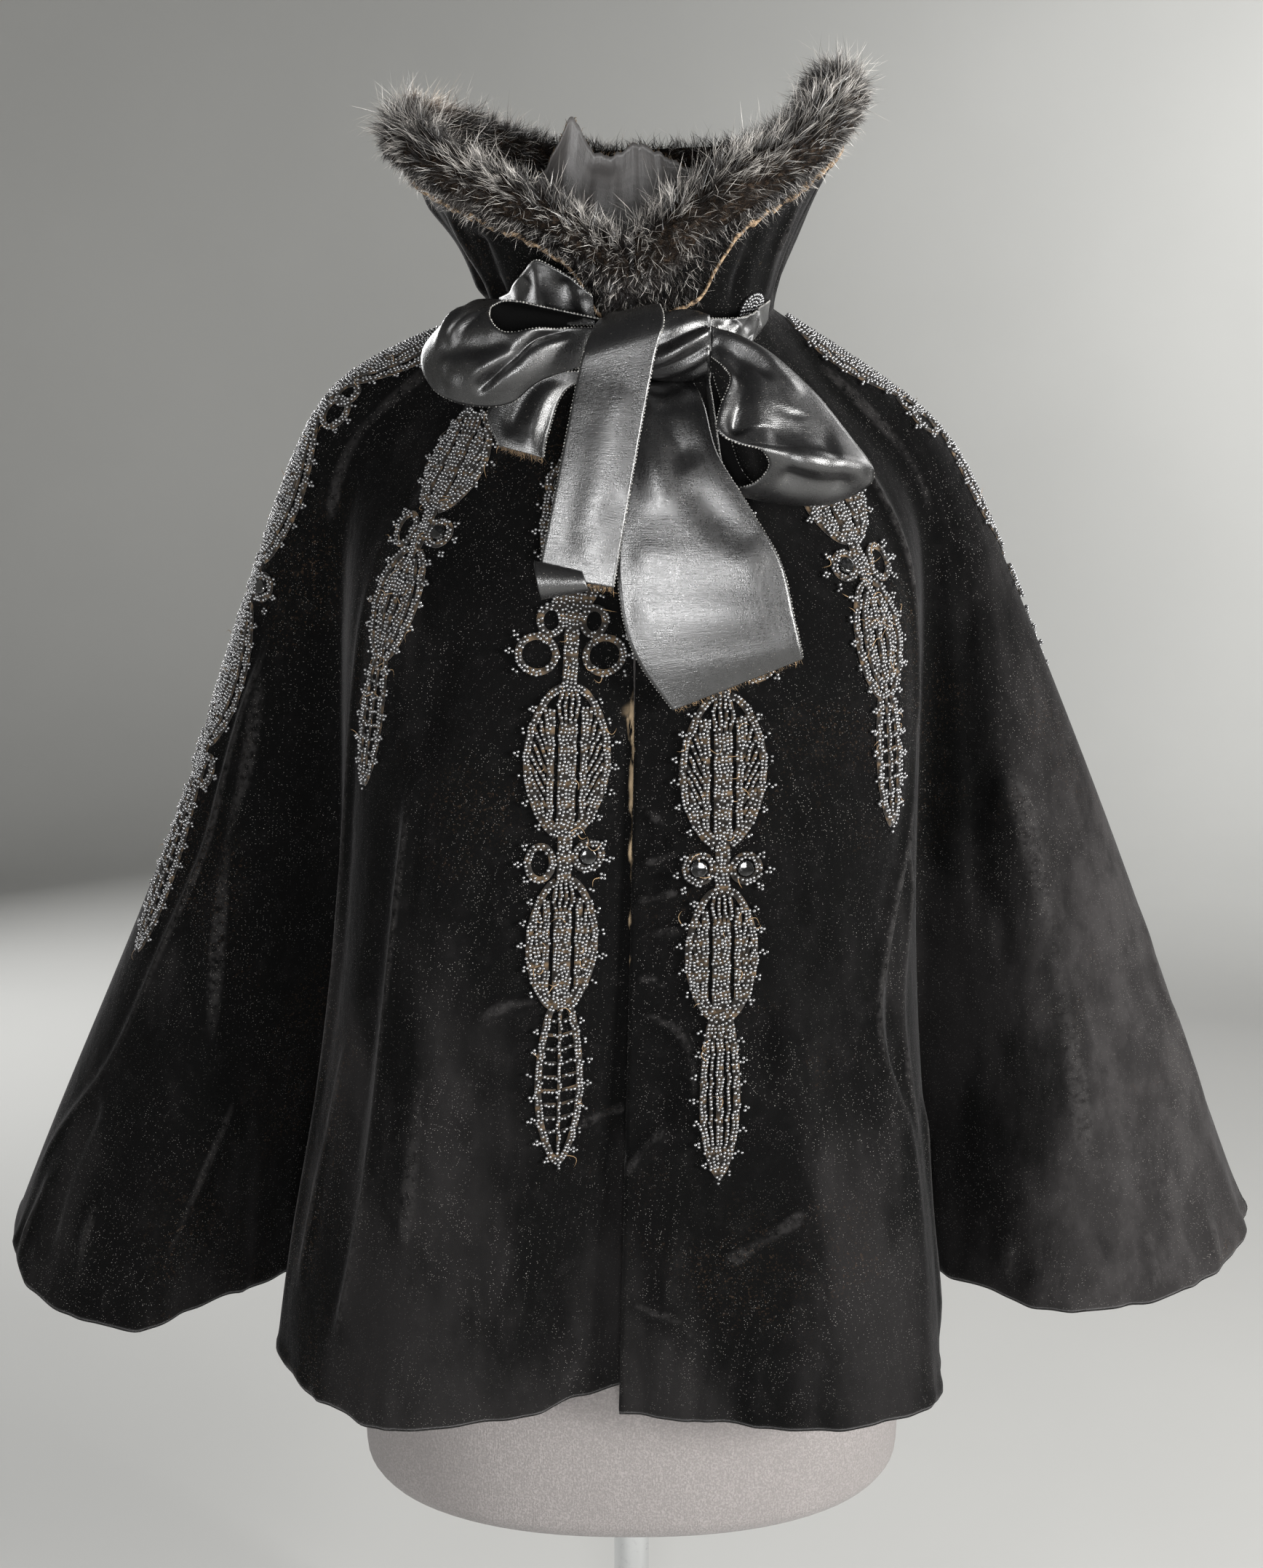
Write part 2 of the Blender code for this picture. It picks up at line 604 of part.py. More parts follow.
def make_drop(name, drop):
    """A beaded drop: a pierced plate made from the cape's own points, moved out."""
    sections = drop_sections(drop.lobes)
    whole = sections[-1][0]
    low, high = [], []
    for way, half, pierced in sections:
        line = drop.line + (drop.end_line - drop.line) * way / whole
        line = line if drop.side == "right" else LAST_LINE - line
        length = line_points(line)[1][-1]
        share = (drop.start + way) / length
        reach = cape_frame(line, share)[2]
        frames = [cape_frame(line + across / reach, share) for across in drop_columns(half)]
        low.append([point + drop.lift * normal for point, normal, step in frames])
        high.append([point + (drop.lift + TRIM_HEIGHT) * normal for point, normal, step in frames])
    filled = []
    for way, half, pierced in sections[:-1]:
        columns = drop_columns(half)
        gap = columns[2] - columns[1]
        slot = not (pierced and gap > LEAST_GAP)
        filled.append((True, slot, True, True, slot, True))
    finish(name, pierced_plate(low, high, filled), (0.03, 0.03, 0.032), 0.25)


def pierced_plate(low, high, filled):
    """A plate between two grids of points, with walls round its edge and round each open cell."""
    bm = bmesh.new()
    under = [[bm.verts.new(point) for point in row] for row in low]
    over = [[bm.verts.new(point) for point in row] for row in high]
    rows, columns = len(filled), len(filled[0])

    def solid_at(i, j):
        return 0 <= i < rows and 0 <= j < columns and filled[i][j]

    for i in range(rows):
        for j in range(columns):
            if not filled[i][j]:
                continue
            corners = ((i, j), (i, j + 1), (i + 1, j + 1), (i + 1, j))
            bm.faces.new([over[a][b] for a, b in corners])
            bm.faces.new([under[a][b] for a, b in reversed(corners)])
            beyond = ((i - 1, j), (i, j + 1), (i + 1, j), (i, j - 1))
            for k, place in enumerate(beyond):
                if not solid_at(*place):
                    (a, b), (c, d) = corners[k], corners[(k + 1) % 4]
                    bm.faces.new((over[c][d], over[a][b], under[a][b], under[c][d]))
    bmesh.ops.delete(bm, geom=[v for v in bm.verts if not v.link_faces], context="VERTS")
    return bm


def make_form():
    """The dress form: a limbless torso, smooth and whole."""
    rings = []
    for height, half_width, front, back in numbers(FORM_RINGS):
        ring = []
        for side in range(FORM_SIDES):
            angle = 2 * math.pi * side / FORM_SIDES
            c, s = math.cos(angle), math.sin(angle)
            power = 2 / FORM_SQUARENESS
            depth = back if s > 0 else front
            ring.append((half_width * math.copysign(abs(c) ** power, c),
                         depth * math.copysign(abs(s) ** power, s), height))
        rings.append(ring)
    finish("form_body", solid(rings), (0.115, 0.105, 0.100), 0.9)


def make_stand():
    """The pole and its round base."""
    bm = bmesh.new()
    bmesh.ops.create_cone(bm, cap_ends=True, segments=BASE_SIDES, radius1=BASE_RADIUS,
                          radius2=BASE_RADIUS, depth=BASE_THICKNESS)
    bmesh.ops.translate(bm, verts=bm.verts, vec=(0, 0, BASE_THICKNESS / 2))
    top_rim = [e for e in bm.edges if all(v.co.z > BASE_THICKNESS * 0.9 for v in e.verts)]
    bmesh.ops.bevel(bm, geom=top_rim, offset=BASE_EDGE, segments=3, profile=0.5, affect="EDGES")
    finish("form_base", bm, (0.45, 0.45, 0.46), 0.2, 1.0)

    low = BASE_THICKNESS + SEAM
    high = FORM_RINGS[0].height - SEAM
    bm = bmesh.new()
    bmesh.ops.create_cone(bm, cap_ends=True, segments=POLE_SIDES, radius1=POLE_RADIUS,
                          radius2=POLE_RADIUS, depth=high - low)
    bmesh.ops.translate(bm, verts=bm.verts, vec=(0, 0, (low + high) / 2))
    finish("form_pole", bm, (0.75, 0.76, 0.77), 0.12, 1.0)


clear_scene()
make_form()
make_stand()
make_cape()
make_collar()
make_fur()
make_lining()
make_bow()
for drop_name, drop_layout in DROPS.items():
    make_drop(drop_name, drop_layout)
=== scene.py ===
"""Dresses a packed velvet cape on its dress form: velvet, fur, satin, jet beads, jersey and the studio."""
import functools
import math
from collections import namedtuple

import bmesh
import bpy
import numpy as np
from bpy.props import FloatProperty, FloatVectorProperty, IntProperty, PointerProperty
from mathutils import Matrix, Vector


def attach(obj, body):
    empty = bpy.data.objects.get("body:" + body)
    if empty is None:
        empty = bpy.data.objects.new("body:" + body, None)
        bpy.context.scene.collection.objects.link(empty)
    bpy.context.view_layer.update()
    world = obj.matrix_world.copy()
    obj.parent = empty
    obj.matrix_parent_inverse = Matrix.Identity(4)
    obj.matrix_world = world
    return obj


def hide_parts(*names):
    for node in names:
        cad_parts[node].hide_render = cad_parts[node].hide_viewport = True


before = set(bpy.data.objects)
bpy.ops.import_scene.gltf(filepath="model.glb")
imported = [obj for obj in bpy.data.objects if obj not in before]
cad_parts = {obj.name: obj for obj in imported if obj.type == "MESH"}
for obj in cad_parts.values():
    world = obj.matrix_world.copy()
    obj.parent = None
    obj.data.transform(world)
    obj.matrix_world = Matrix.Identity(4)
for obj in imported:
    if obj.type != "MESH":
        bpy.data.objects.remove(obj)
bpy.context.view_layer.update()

bl_info = {
    "name": "Velvet cape dressing",
    "version": (1, 0, 0),
    "blender": (4, 5, 0),
    "location": "3D View > Sidebar > Cape",
    "description": "Builds the cloth, fur, ribbon, beads and finishes of a velvet cape on a dress form",
    "category": "Object",
}


def table_of(kind, *rows):
    """A table with named columns, in metres, from rows in millimetres. A column named turn is in degrees."""
    units = [1 if column == "turn" else 1000 for column in kind._fields]
    return tuple(kind(*(number / unit for number, unit in zip(row, units))) for row in rows)


# Metres, but millimetres in the rows of table_of and creases. +Z is up and the front faces -Y. Left and right
# are the wearer's, so left is +X.
SEAM = 0.0004
NECK_HALF_WIDTH = 0.090
NECK_FRONT = 0.088
NECK_BACK = 0.068
NECK_HEIGHT = 1.054
NECK_SLOPE = 0.018

# Lines down the cape: from the neck seam, over the place where the cloth bends away, to the hem.
# Each front has its opening edge, front, low point, crease, fold edge and valley, and then the front, lowest
# line, side, tip and rear of the arm's cone. The back has two valleys, a flute beyond each, and its centre.
Fold = namedtuple("Fold", "turn bend_x bend_y bend_z hem_x hem_y hem_z bow")
RIGHT_FOLDS = table_of(
    Fold,
    (0.6, 1.2, -147, 850, 4, -128, 378, 4),
    (24, -60, -152, 850, -70, -152, 365, 4),
    (44, -118, -140, 855, -140, -162, 361, 0),
    (57, -150, -112, 875, -194, -132, 361, -6),
    (67, -170, -75, 905, -236, -76, 370, -12),
    (74, -184, -40, 955, -224, 14, 388, -6),
    (79, -194, -30, 985, -285, -48, 392, -4),
    (83, -199, -22, 998, -338, -74, 384, -6),
    (87, -202, -14, 1005, -412, -38, 396, -8),
    (91, -203, 2, 1009, -437, 20, 428, -10),
    (97, -202, 21, 995, -405, 88, 404, 0),
)
LEFT_FOLDS = table_of(
    Fold,
    (0.6, 3, -148, 850, -8, -153, 367, 0),
    (24, 60, -152, 850, 60, -163, 366, 0),
    (44, 116, -142, 855, 132, -166, 363, -3),
    (57, 150, -118, 875, 182, -142, 363, -6),
    (67, 178, -80, 905, 204, -98, 362, -10),
    (74, 190, -40, 940, 200, 8, 390, -4),
    (79, 203, -30, 960, 242, -38, 396, 2),
    (83, 208, -22, 970, 300, -76, 398, 4),
    (87, 211, -10, 976, 388, -52, 410, 4),
    (91, 212, 4, 980, 436, 12, 430, 4),
    (97, 206, 24, 972, 402, 86, 408, 0),
)
BACK_FOLDS = table_of(
    Fold,
    (107, -188, 52, 965, -285, 104, 394, 0),
    (124, -152, 102, 935, -248, 206, 374, 0),
    (143, -104, 128, 925, -136, 170, 374, 0),
    (161, -52, 138, 920, -72, 222, 366, 0),
    (180, 0, 138, 920, 0, 186, 366, 0),
)
BEND_WEIGHT = 7.0
LINE_SAMPLES = 260
FRONT_LINES = 199
BACK_LINES = 241
CAPE_ROWS = 185
ROW_CROWDING = 1.08
INNER_STEP = 3
SEAM_INSET = 0.02

# Creases pressed into the velvet: places as (line from that side's front edge, share of the way down)
Crease = namedtuple("Crease", "path width depth")


def creases(*rows):
    """Creases from rows of width and depth in millimetres, below 0 for a trough, and the places of a path."""
    return [Crease(path, width / 1000, depth / 1000) for width, depth, *path in rows]


RIGHT_CREASES = creases(
    (5, 3.4, (2.2, 0.386), (2.35, 0.5), (2.55, 0.643), (2.68, 0.78), (2.85, 0.89), (3.0, 0.945)),
    (11, -3.6, (2.55, 0.42), (2.75, 0.55), (2.95, 0.7), (3.1, 0.86)),
    (5.5, 3, (3.75, 0.2), (3.8, 0.42), (3.9, 0.62), (3.95, 0.8), (4.0, 0.97)),
    (4.6, 2.2, (3.3, 0.66), (3.45, 0.74), (3.55, 0.8), (3.65, 0.92)),
    (11, -3.4, (1.85, 0.285), (1.95, 0.343), (2.2, 0.41)),
    (6, 1.5, (1.42, 0.618), (1.15, 0.604), (0.82, 0.6)),
    (6, 1.6, (0.58, 0.724), (0.36, 0.716), (0.12, 0.714)),
    (13, -3.6, (0.46, 0.85), (0.72, 0.91), (0.98, 0.97)),
    (12, -2.2, (1.3, 0.46), (1.45, 0.52), (1.5, 0.58)),
    (14, -2.4, (1.75, 0.7), (1.6, 0.78), (1.62, 0.86)),
    (9, 1.6, (1.95, 0.66), (2.05, 0.76), (2.1, 0.84)),
    (4.4, 3.4, (6.98, 0.3), (7.2, 0.375), (7.45, 0.443), (7.52, 0.557), (7.72, 0.645), (7.95, 0.764),
     (8.45, 0.871), (8.68, 0.957)),
    (9, 2.2, (7.22, 0.365), (7.1, 0.471), (7.18, 0.536), (7.0, 0.614), (6.55, 0.771)),
    (10, -3, (7.35, 0.5), (7.4, 0.6), (7.55, 0.7), (7.6, 0.78)),
    (5.2, 2.4, (6.05, 0.78), (6.4, 0.86), (6.72, 0.94)),
    (7, -3, (7.95, 0.8), (8.02, 0.88), (7.98, 0.97)),
    (5.2, 3, (8.28, 0.9), (8.32, 0.95), (8.3, 0.99)),
    (5.6, 2.8, (7.55, 0.88), (7.58, 0.93), (7.54, 0.985)),
    (6, -1.8, (0.55, 0.02), (0.6, 0.07), (0.62, 0.12)),
    (7.5, -2.4, (1.6, 0.02), (1.66, 0.09), (1.62, 0.17)),
    (8, -2.6, (3.35, 0.03), (3.5, 0.11), (3.55, 0.2)),
    (8, 2.2, (5.2, 0.06), (5.45, 0.15), (5.6, 0.26)),
)
LEFT_CREASES = creases(
    (4.4, 3.4, (3.98, 0.36), (3.8, 0.43), (3.5, 0.486), (3.05, 0.543), (2.7, 0.614), (2.75, 0.664),
     (3.0, 0.7), (3.35, 0.771), (3.45, 0.94)),
    (4.4, 2.6, (3.52, 0.47), (3.65, 0.536), (3.28, 0.621), (3.3, 0.686), (3.62, 0.765)),
    (6, -3, (3.42, 0.52), (3.05, 0.6), (3.02, 0.66), (3.25, 0.73)),
    (5.5, 2.6, (4.02, 0.1), (4.0, 0.26), (3.98, 0.4)),
    (5.5, 2.6, (3.95, 0.72), (3.98, 0.84), (4.02, 0.97)),
    (4, 2.2, (0.1, 0.418), (0.26, 0.43), (0.42, 0.443)),
    (4, 2.4, (0.12, 0.472), (0.34, 0.471), (0.56, 0.463)),
    (4.4, 2.4, (0.1, 0.508), (0.32, 0.505), (0.56, 0.499)),
    (4, 2.2, (0.12, 0.54), (0.38, 0.537), (0.62, 0.536)),
    (4.4, 2, (0.1, 0.576), (0.3, 0.58), (0.46, 0.588)),
    (5, -2.2, (0.1, 0.45), (0.3, 0.452), (0.46, 0.454)),
    (5, -2.2, (0.12, 0.49), (0.3, 0.489), (0.44, 0.486)),
    (4.6, 3, (0.08, 0.61), (0.48, 0.621), (0.65, 0.65), (0.71, 0.705)),
    (4.8, 2.8, (0.46, 0.718), (0.26, 0.736), (0.02, 0.766)),
    (10, -3, (0.3, 0.66), (0.42, 0.69), (0.3, 0.72)),
    (4.4, 2.8, (0.1, 0.883), (0.35, 0.893), (0.6, 0.902), (0.76, 0.924)),
    (7, -2.6, (0.2, 0.905), (0.45, 0.915), (0.62, 0.935)),
    (12, -4.4, (1.55, 0.415), (1.65, 0.52), (1.85, 0.605)),
    (9.5, -3.2, (1.38, 0.6), (1.3, 0.65), (1.44, 0.685)),
    (8, 2, (0.92, 0.846), (1.3, 0.821), (1.72, 0.791)),
    (13, -2.6, (2.05, 0.63), (2.1, 0.74), (2.0, 0.86)),
    (9, -2.8, (6.8, 0.29), (6.42, 0.355), (6.2, 0.392)),
    (8, -3, (6.46, 0.48), (6.08, 0.543), (6.22, 0.606)),
    (7, -2.8, (6.48, 0.612), (6.52, 0.64), (6.48, 0.668)),
    (12, -3, (7.46, 0.66), (7.62, 0.745), (7.78, 0.83)),
    (14, 3, (7.05, 0.45), (7.2, 0.6), (7.25, 0.76), (7.2, 0.88)),
    (5.6, 3, (6.38, 0.9), (6.34, 0.945), (6.3, 0.988)),
    (5.6, -3.2, (7.18, 0.92), (7.26, 0.955), (7.3, 0.988)),
    (5, 2.8, (7.58, 0.925), (7.62, 0.955), (7.58, 0.988)),
    (5, 3, (8.18, 0.93), (8.22, 0.958), (8.18, 0.99)),
    (4.8, 2.4, (8.9, 0.66), (8.62, 0.729), (8.82, 0.8), (8.75, 0.893)),
    (6, -1.8, (0.6, 0.02), (0.66, 0.08), (0.64, 0.13)),
    (7.5, -2.4, (1.75, 0.02), (1.8, 0.1), (1.78, 0.18)),
    (8, 2.2, (5.1, 0.05), (5.35, 0.14), (5.5, 0.25)),
)
# On the back the lines are counted round from the right front edge
BACK_CREASES = creases(
    (6, 3, (9.6, 0.34), (9.72, 0.5), (9.66, 0.66), (9.9, 0.82)),
    (10, -3.6, (10.6, 0.4), (10.75, 0.58), (10.7, 0.76), (10.9, 0.94)),
    (5.5, 2.8, (11.85, 0.26), (11.95, 0.44), (12.05, 0.6)),
    (6, 2.8, (12.3, 0.52), (12.2, 0.68), (12.32, 0.84), (12.25, 0.96)),
    (13, -3.4, (12.75, 0.3), (12.85, 0.46), (12.7, 0.6)),
    (5.6, 3, (13.85, 0.22), (13.95, 0.38), (13.8, 0.52), (13.95, 0.7)),
    (9, -3, (14.4, 0.6), (14.3, 0.74), (14.45, 0.9)),
    (10, -2.8, (15.15, 0.16), (15.05, 0.3), (15.2, 0.46)),
    (6, 1.8, (15.35, 0.5), (15.1, 0.56), (14.8, 0.58)),
    (5.6, 3.2, (16.05, 0.28), (16.15, 0.48), (16.02, 0.66), (16.18, 0.88)),
    (11, -3.2, (16.7, 0.54), (16.85, 0.7), (16.72, 0.86)),
    (5.8, 2.8, (17.7, 0.34), (17.82, 0.52), (17.68, 0.72)),
    (7, 2.6, (18.2, 0.24), (18.05, 0.4), (18.22, 0.56), (18.1, 0.78)),
    (10, -3.4, (19.3, 0.44), (19.2, 0.62), (19.38, 0.82)),
    (5.8, 3, (20.4, 0.36), (20.28, 0.52), (20.45, 0.7), (20.3, 0.9)),
    (7, -2.2, (13.2, 0.02), (13.25, 0.08), (13.22, 0.15)),
    (8, -2.4, (14.55, 0.02), (14.5, 0.1), (14.58, 0.19)),
    (6.5, -2, (15.8, 0.02), (15.86, 0.08), (15.82, 0.14)),
    (8, -2.4, (17.05, 0.03), (17.1, 0.11), (17.02, 0.2)),
)
# A crease: the share of its length in which each end dies away, the width and depth of the soft skirt beside
# it, and the width of the rubbed line along a ridge, which is also a painted sheen, in its own widths and
# depths
CREASE_END = 0.22
SKIRT_WIDTH = 2.3
SKIRT_SHARE = 0.25
WEAR_AND_SHEEN_WIDTH = 0.62
# Hem: the usual step between puckers, and the heights of its turned edge and of its wear
HEM_PUCKER_STEP = 0.026
HEM_TURN = 0.0045
HEM_WEAR = 0.004
# Where the opening's edge is worn bare, in shares of the way down, and the lines that its patch crosses
BARE_TOP = 0.30
BARE_FOOT = 0.64
BARE_PATCH = 0.345
BARE_LINES = 9

# Collar: its height and flare round the neck, and the radius of the fur along its edge
CollarLine = namedtuple("CollarLine", "turn rise flare fur")
COLLAR_LINES = table_of(
    CollarLine,
    (11, 22, 10, 12.5), (28, 50, 22, 16.5), (48, 64, 31, 19), (68, 80, 47, 21.5),
    (88, 88, 55, 22), (112, 84, 47, 19), (146, 78, 41, 16), (180, 74, 42, 15.5),
    (214, 80, 44, 16), (248, 96, 43, 19), (272, 108, 47, 22), (292, 98, 42, 21.5),
    (312, 76, 32, 19), (332, 52, 23, 16.5), (349, 22, 10, 12.5),
)
COLLAR_CURVE = 1.45
COLLAR_STEPS = 271
COLLAR_ROWS = 34
# Places on the collar are (degrees round the neck, share of the way up)
COLLAR_CREASES = creases(
    (6, -2.8, (58, 0.1), (56, 0.4), (55, 0.75)),
    (6.5, 2.6, (66, 0.05), (67, 0.4), (68, 0.8)),
    (6.2, -3.2, (75, 0.05), (75, 0.4), (74, 0.78)),
    (7, 2.8, (84, 0.05), (85, 0.45), (86, 0.85)),
    (7.5, -3, (96, 0.05), (97, 0.4), (96, 0.8)),
    (5.5, -2, (36, 0.15), (38, 0.45), (37, 0.8)),
    (8, -2.6, (120, 0.05), (118, 0.45), (121, 0.85)),
    (8.5, 2.4, (150, 0.05), (153, 0.5), (150, 0.9)),
    (8, -2.6, (176, 0.05), (174, 0.45), (177, 0.85)),
    (8.5, 2.4, (203, 0.05), (205, 0.5), (202, 0.88)),
    (8, -2.8, (238, 0.05), (236, 0.45), (239, 0.85)),
    (7.5, 2.4, (262, 0.05), (265, 0.5), (266, 0.9)),
    (7, -2.6, (281, 0.05), (283, 0.4), (282, 0.8)),
    (6.5, 2.2, (298, 0.1), (300, 0.45), (300, 0.8)),
    (6, -2.2, (318, 0.1), (319, 0.45), (318, 0.8)),
)
# Worn spots on the collar: degrees round the neck, share of the way up, and width in degrees
COLLAR_WORN = ((44, 0.62, 3.0), (36, 0.60, 2.5), (31, 0.45, 2.5), (49, 0.40, 3.0), (321, 0.55, 2.5),
               (309, 0.42, 3.0), (286, 0.30, 3.5))
# The fur goes on past the collar's ends, to meet in front
FUR_LINES = table_of(
    CollarLine,
    (1, 26, 10, 16), (13, 34, 14, 17.5), (28, 52, 22, 17.5), (48, 64, 31, 19),
    (68, 80, 45, 21.5), (88, 88, 51, 24), (104, 88, 47, 25), (122, 82, 44, 26),
    (140, 79, 42, 22), (160, 76, 43, 16.5), (180, 74, 42, 15.5), (214, 80, 44, 16),
    (240, 94, 43, 20), (256, 108, 43, 24), (271, 112, 42, 24.5), (292, 98, 40, 22.5),
    (312, 76, 32, 22.5), (332, 56, 23, 25), (347, 36, 14, 25.5), (359, 28, 10, 21.5),
)
FUR_RISE = 0.50
FUR_SHIFT = 0.42
FUR_CORE = 0.64
# Sections and sides of the roll, the degrees round it where hair grows, the share of hairs on the collar's
# outside, the place of the tan patch and the number of locks
FUR_SECTIONS = 190
FUR_SIDES = 18
FUR_FIRST = -80
FUR_LAST = 232
FUR_OUTSIDE = 0.28
FUR_TAN_TURN = 108
LOCKS = 8000
HIDE_SECTIONS = 320
HIDE_ROWS = 5
HIDE_THICKNESS = 0.0012

# Loose lining inside the back of the collar, with its two peaks
LiningLine = namedtuple("LiningLine", "turn rise lean")
LINING_LINES = table_of(
    LiningLine,
    (112, 64, 10), (131, 80, 14), (145, 108, 16), (155, 88, 18),
    (168, 82, 20), (182, 89, 22), (190, 87, 22), (206, 80, 20),
    (224, 71, 14), (244, 56, 10),
)
LINING_STEPS = 110
LINING_ROWS = 30
LINING_CREASES = creases(
    (12, -1.6, (134, 0.15), (137, 0.55), (141, 0.92)),
    (14, -3, (168, 0.3), (164, 0.6), (163, 0.95)),
    (15, -2.2, (214, 0.2), (211, 0.55), (208, 0.92)),
)

# Ribbon from the collar's side to the knot: heights on the collar, and the distance out from it
RibbonLine = namedtuple("RibbonLine", "turn low high out")
RIBBON_RIGHT = table_of(
    RibbonLine,
    (58, 3, 12, 0.6), (50, 2, 14, 6), (42, 2, 17, 12), (36, 1, 22, 19),
    (30, 0, 28, 25), (26, 0, 33, 28.5), (23, 0, 35, 30), (19, 0, 31, 30),
    (15.5, 0, 26, 30), (12.5, 0, 21, 30), (10, 0, 16, 30),
)
RIBBON_LEFT = table_of(
    RibbonLine,
    (294, -2, 9, 0.6), (310, -8, 7, 8), (326, -14, 3, 26), (339, -16, 3, 34),
)

# Knot: a gathered band round the middle of the bow
KNOT_CENTRE = (0.022, -0.120, 1.025)
KNOT_LENGTH = 0.046
KNOT_DEPTH = 0.021
KNOT_HEIGHT = 0.019
KNOT_TAPER = 0.16
KNOT_TWIST = 1.1
KNOT_GATHER = 0.13
KNOT_CRIMP = 0.05
KNOT_STEPS = 168
KNOT_ROWS = 26

# Rolled corner of the front tail: where its roll starts, how it runs and how it narrows
CURL_START = (-0.0530, -0.1772, 0.9040)
CURL_RUN = 0.0270
CURL_FALL = 0.0060
CURL_RADIUS = 0.0105
CURL_TAPER = 0.0055
FRAY_HIDDEN = 0.0008
FRAY_ENDS = 220
FRAY_LENGTH = 0.0032
RIBBON_STEPS = 90
RIBBON_ROWS = 26

# Bow and its tails: the two edges of the ribbon, a and b, at each section along it
Edges = namedtuple("Edges", "ax ay az bx by bz")
LOOP_RIGHT = table_of(
    Edges,
    (-1.8, -134, 1034, -1.8, -135, 1020),
    (-47, -153, 1034, -49, -150, 1006),
    (-66, -156, 1031, -69, -150, 992),
    (-75, -154, 1033, -92, -143, 991),
    (-80, -146, 1039, -113, -133, 999),
    (-81, -138, 1044, -122, -123, 1015),
    (-79, -131, 1048, -117, -115, 1030),
    (-70, -127, 1051, -97, -112, 1036),
    (-50, -127, 1047, -60, -114, 1032),
    (-1.8, -118, 1037, -1.8, -116, 1024),
)
LOOP_LEFT = table_of(
    Edges,
    (45.8, -135, 1019, 45.8, -132, 1036),
    (56, -153, 1007, 80, -133, 1020),
    (50, -164, 990, 104, -133, 1000),
    (48, -170, 977, 123, -134, 978),
    (59, -172, 970, 136, -136, 961),
    (73, -170, 966, 141, -134, 953),
    (78, -162, 957, 137, -130, 944),
    (70, -152, 947, 113, -126, 934),
    (56, -144, 945, 83, -124, 940),
    (52, -137, 957, 64, -122, 955),
    (48, -128, 990, 53, -118, 992),
    (45.8, -122, 1010, 45.8, -116, 1014),
)
TAIL_FRONT = table_of(
    Edges,
    (-10, -121, 1044.3, 14, -121, 1045.6),
    (-20, -147, 1036, 16, -143, 1047),
    (-26, -162, 1022, 18, -160, 1036),
    (-31, -165, 1002, 12, -165, 1013),
    (-42, -173, 948, -1, -173, 942),
    (-53, -176, 896, -10, -176, 889),
)
TAIL_LONG = table_of(
    Edges,
    (10, -120, 1004, 36, -120, 1004),
    (5, -138, 994, 42, -138, 990),
    (2, -150, 965, 49, -148, 964),
    (-4, -157, 933, 68, -153, 933),
    (-8, -161, 900, 86, -156, 902),
    (-4, -162, 866, 94, -157, 871),
    (5, -160.5, 843, 98, -155.5, 855),
    (24, -155.5, 816, 100, -151.5, 846),
)
TAIL_SHORT = table_of(
    Edges,
    (-2, -126, 1010, -1.5, -118, 1009),
    (-60, -128, 1008, -36, -124, 1002),
    (-83, -132, 989, -48, -132, 976),
    (-77, -137, 968, -51, -138, 961),
)

# Beaded drops: lobes along each, from the neck downwards
Lobe = namedtuple("Lobe", "length half_width kind")
CENTRE_LOBES = (
    Lobe(0.100, 0.023, "leaf"),
    Lobe(0.046, 0.033, "eyes"),
    Lobe(0.088, 0.026, "leaf"),
    Lobe(0.028, 0.024, "pinch"),
    Lobe(0.078, 0.022, "leaf"),
    Lobe(0.100, 0.015, "tail"),
)
PLAITED_LOBES = CENTRE_LOBES[:-1] + (Lobe(0.100, 0.0125, "plait"),)
SIDE_LOBES = (
    Lobe(0.066, 0.024, "leaf"),
    Lobe(0.028, 0.024, "pinch"),
    Lobe(0.068, 0.020, "filled"),
    Lobe(0.080, 0.012, "tail"),
)
SHOULDER_LOBES = (
    Lobe(0.090, 0.025, "filled"),
    Lobe(0.032, 0.026, "eyes"),
    Lobe(0.096, 0.022, "filled"),
    Lobe(0.030, 0.022, "pinch"),
    Lobe(0.096, 0.021, "filled"),
    Lobe(0.028, 0.018, "pinch"),
    Lobe(0.124, 0.013, "tail"),
)
# Discs sewn in a drop: the way down it, the place across it (above 0 is away from the front edge), radius
Drop = namedtuple("Drop", "side line end_line start lobes discs")
DROPS = {
    "drop_centre_right": Drop("right", 0.63, 0.71, 0.072, CENTRE_LOBES,
                              ((0.026, 0.010, 0.0080), (0.248, -0.0142, 0.0056))),
    "drop_centre_left": Drop("left", 0.92, 0.90, 0.080, PLAITED_LOBES,
                             ((0.248, -0.0138, 0.0058), (0.249, 0.0138, 0.0054))),
    "drop_side_right": Drop("right", 2.65, 3.25, 0.064, SIDE_LOBES, ((0.080, -0.0130, 0.0052),)),
    "drop_side_left": Drop("left", 3.00, 3.10, 0.088, SIDE_LOBES, ((0.080, -0.0120, 0.0056),)),
    "drop_shoulder_right": Drop("right", 8.30, 8.25, 0.012, SHOULDER_LOBES, ((0.233, -0.0120, 0.0052),)),
    "drop_shoulder_left": Drop("left", 8.60, 10.40, 0.012, SHOULDER_LOBES, ((0.233, 0.0120, 0.0052),)),
}
WAIST = 0.0068
TIP = 0.0018
LOBE_FULLNESS = 0.62
BEAD_STEP = 0.0022
# Heights above the velvet, and sizes of the braid, discs and loose threads
BEAD_LIFT = 0.0008
BRAID_MARGIN = 0.0003
BRAID_THICKNESS = 0.0005
DISC_DEPTH = 0.0018
DISC_TABLE = 0.78
DISC_LIFT = 0.0026
LOOSE_THREADS = 44
THREAD_WIDTH = 0.0006

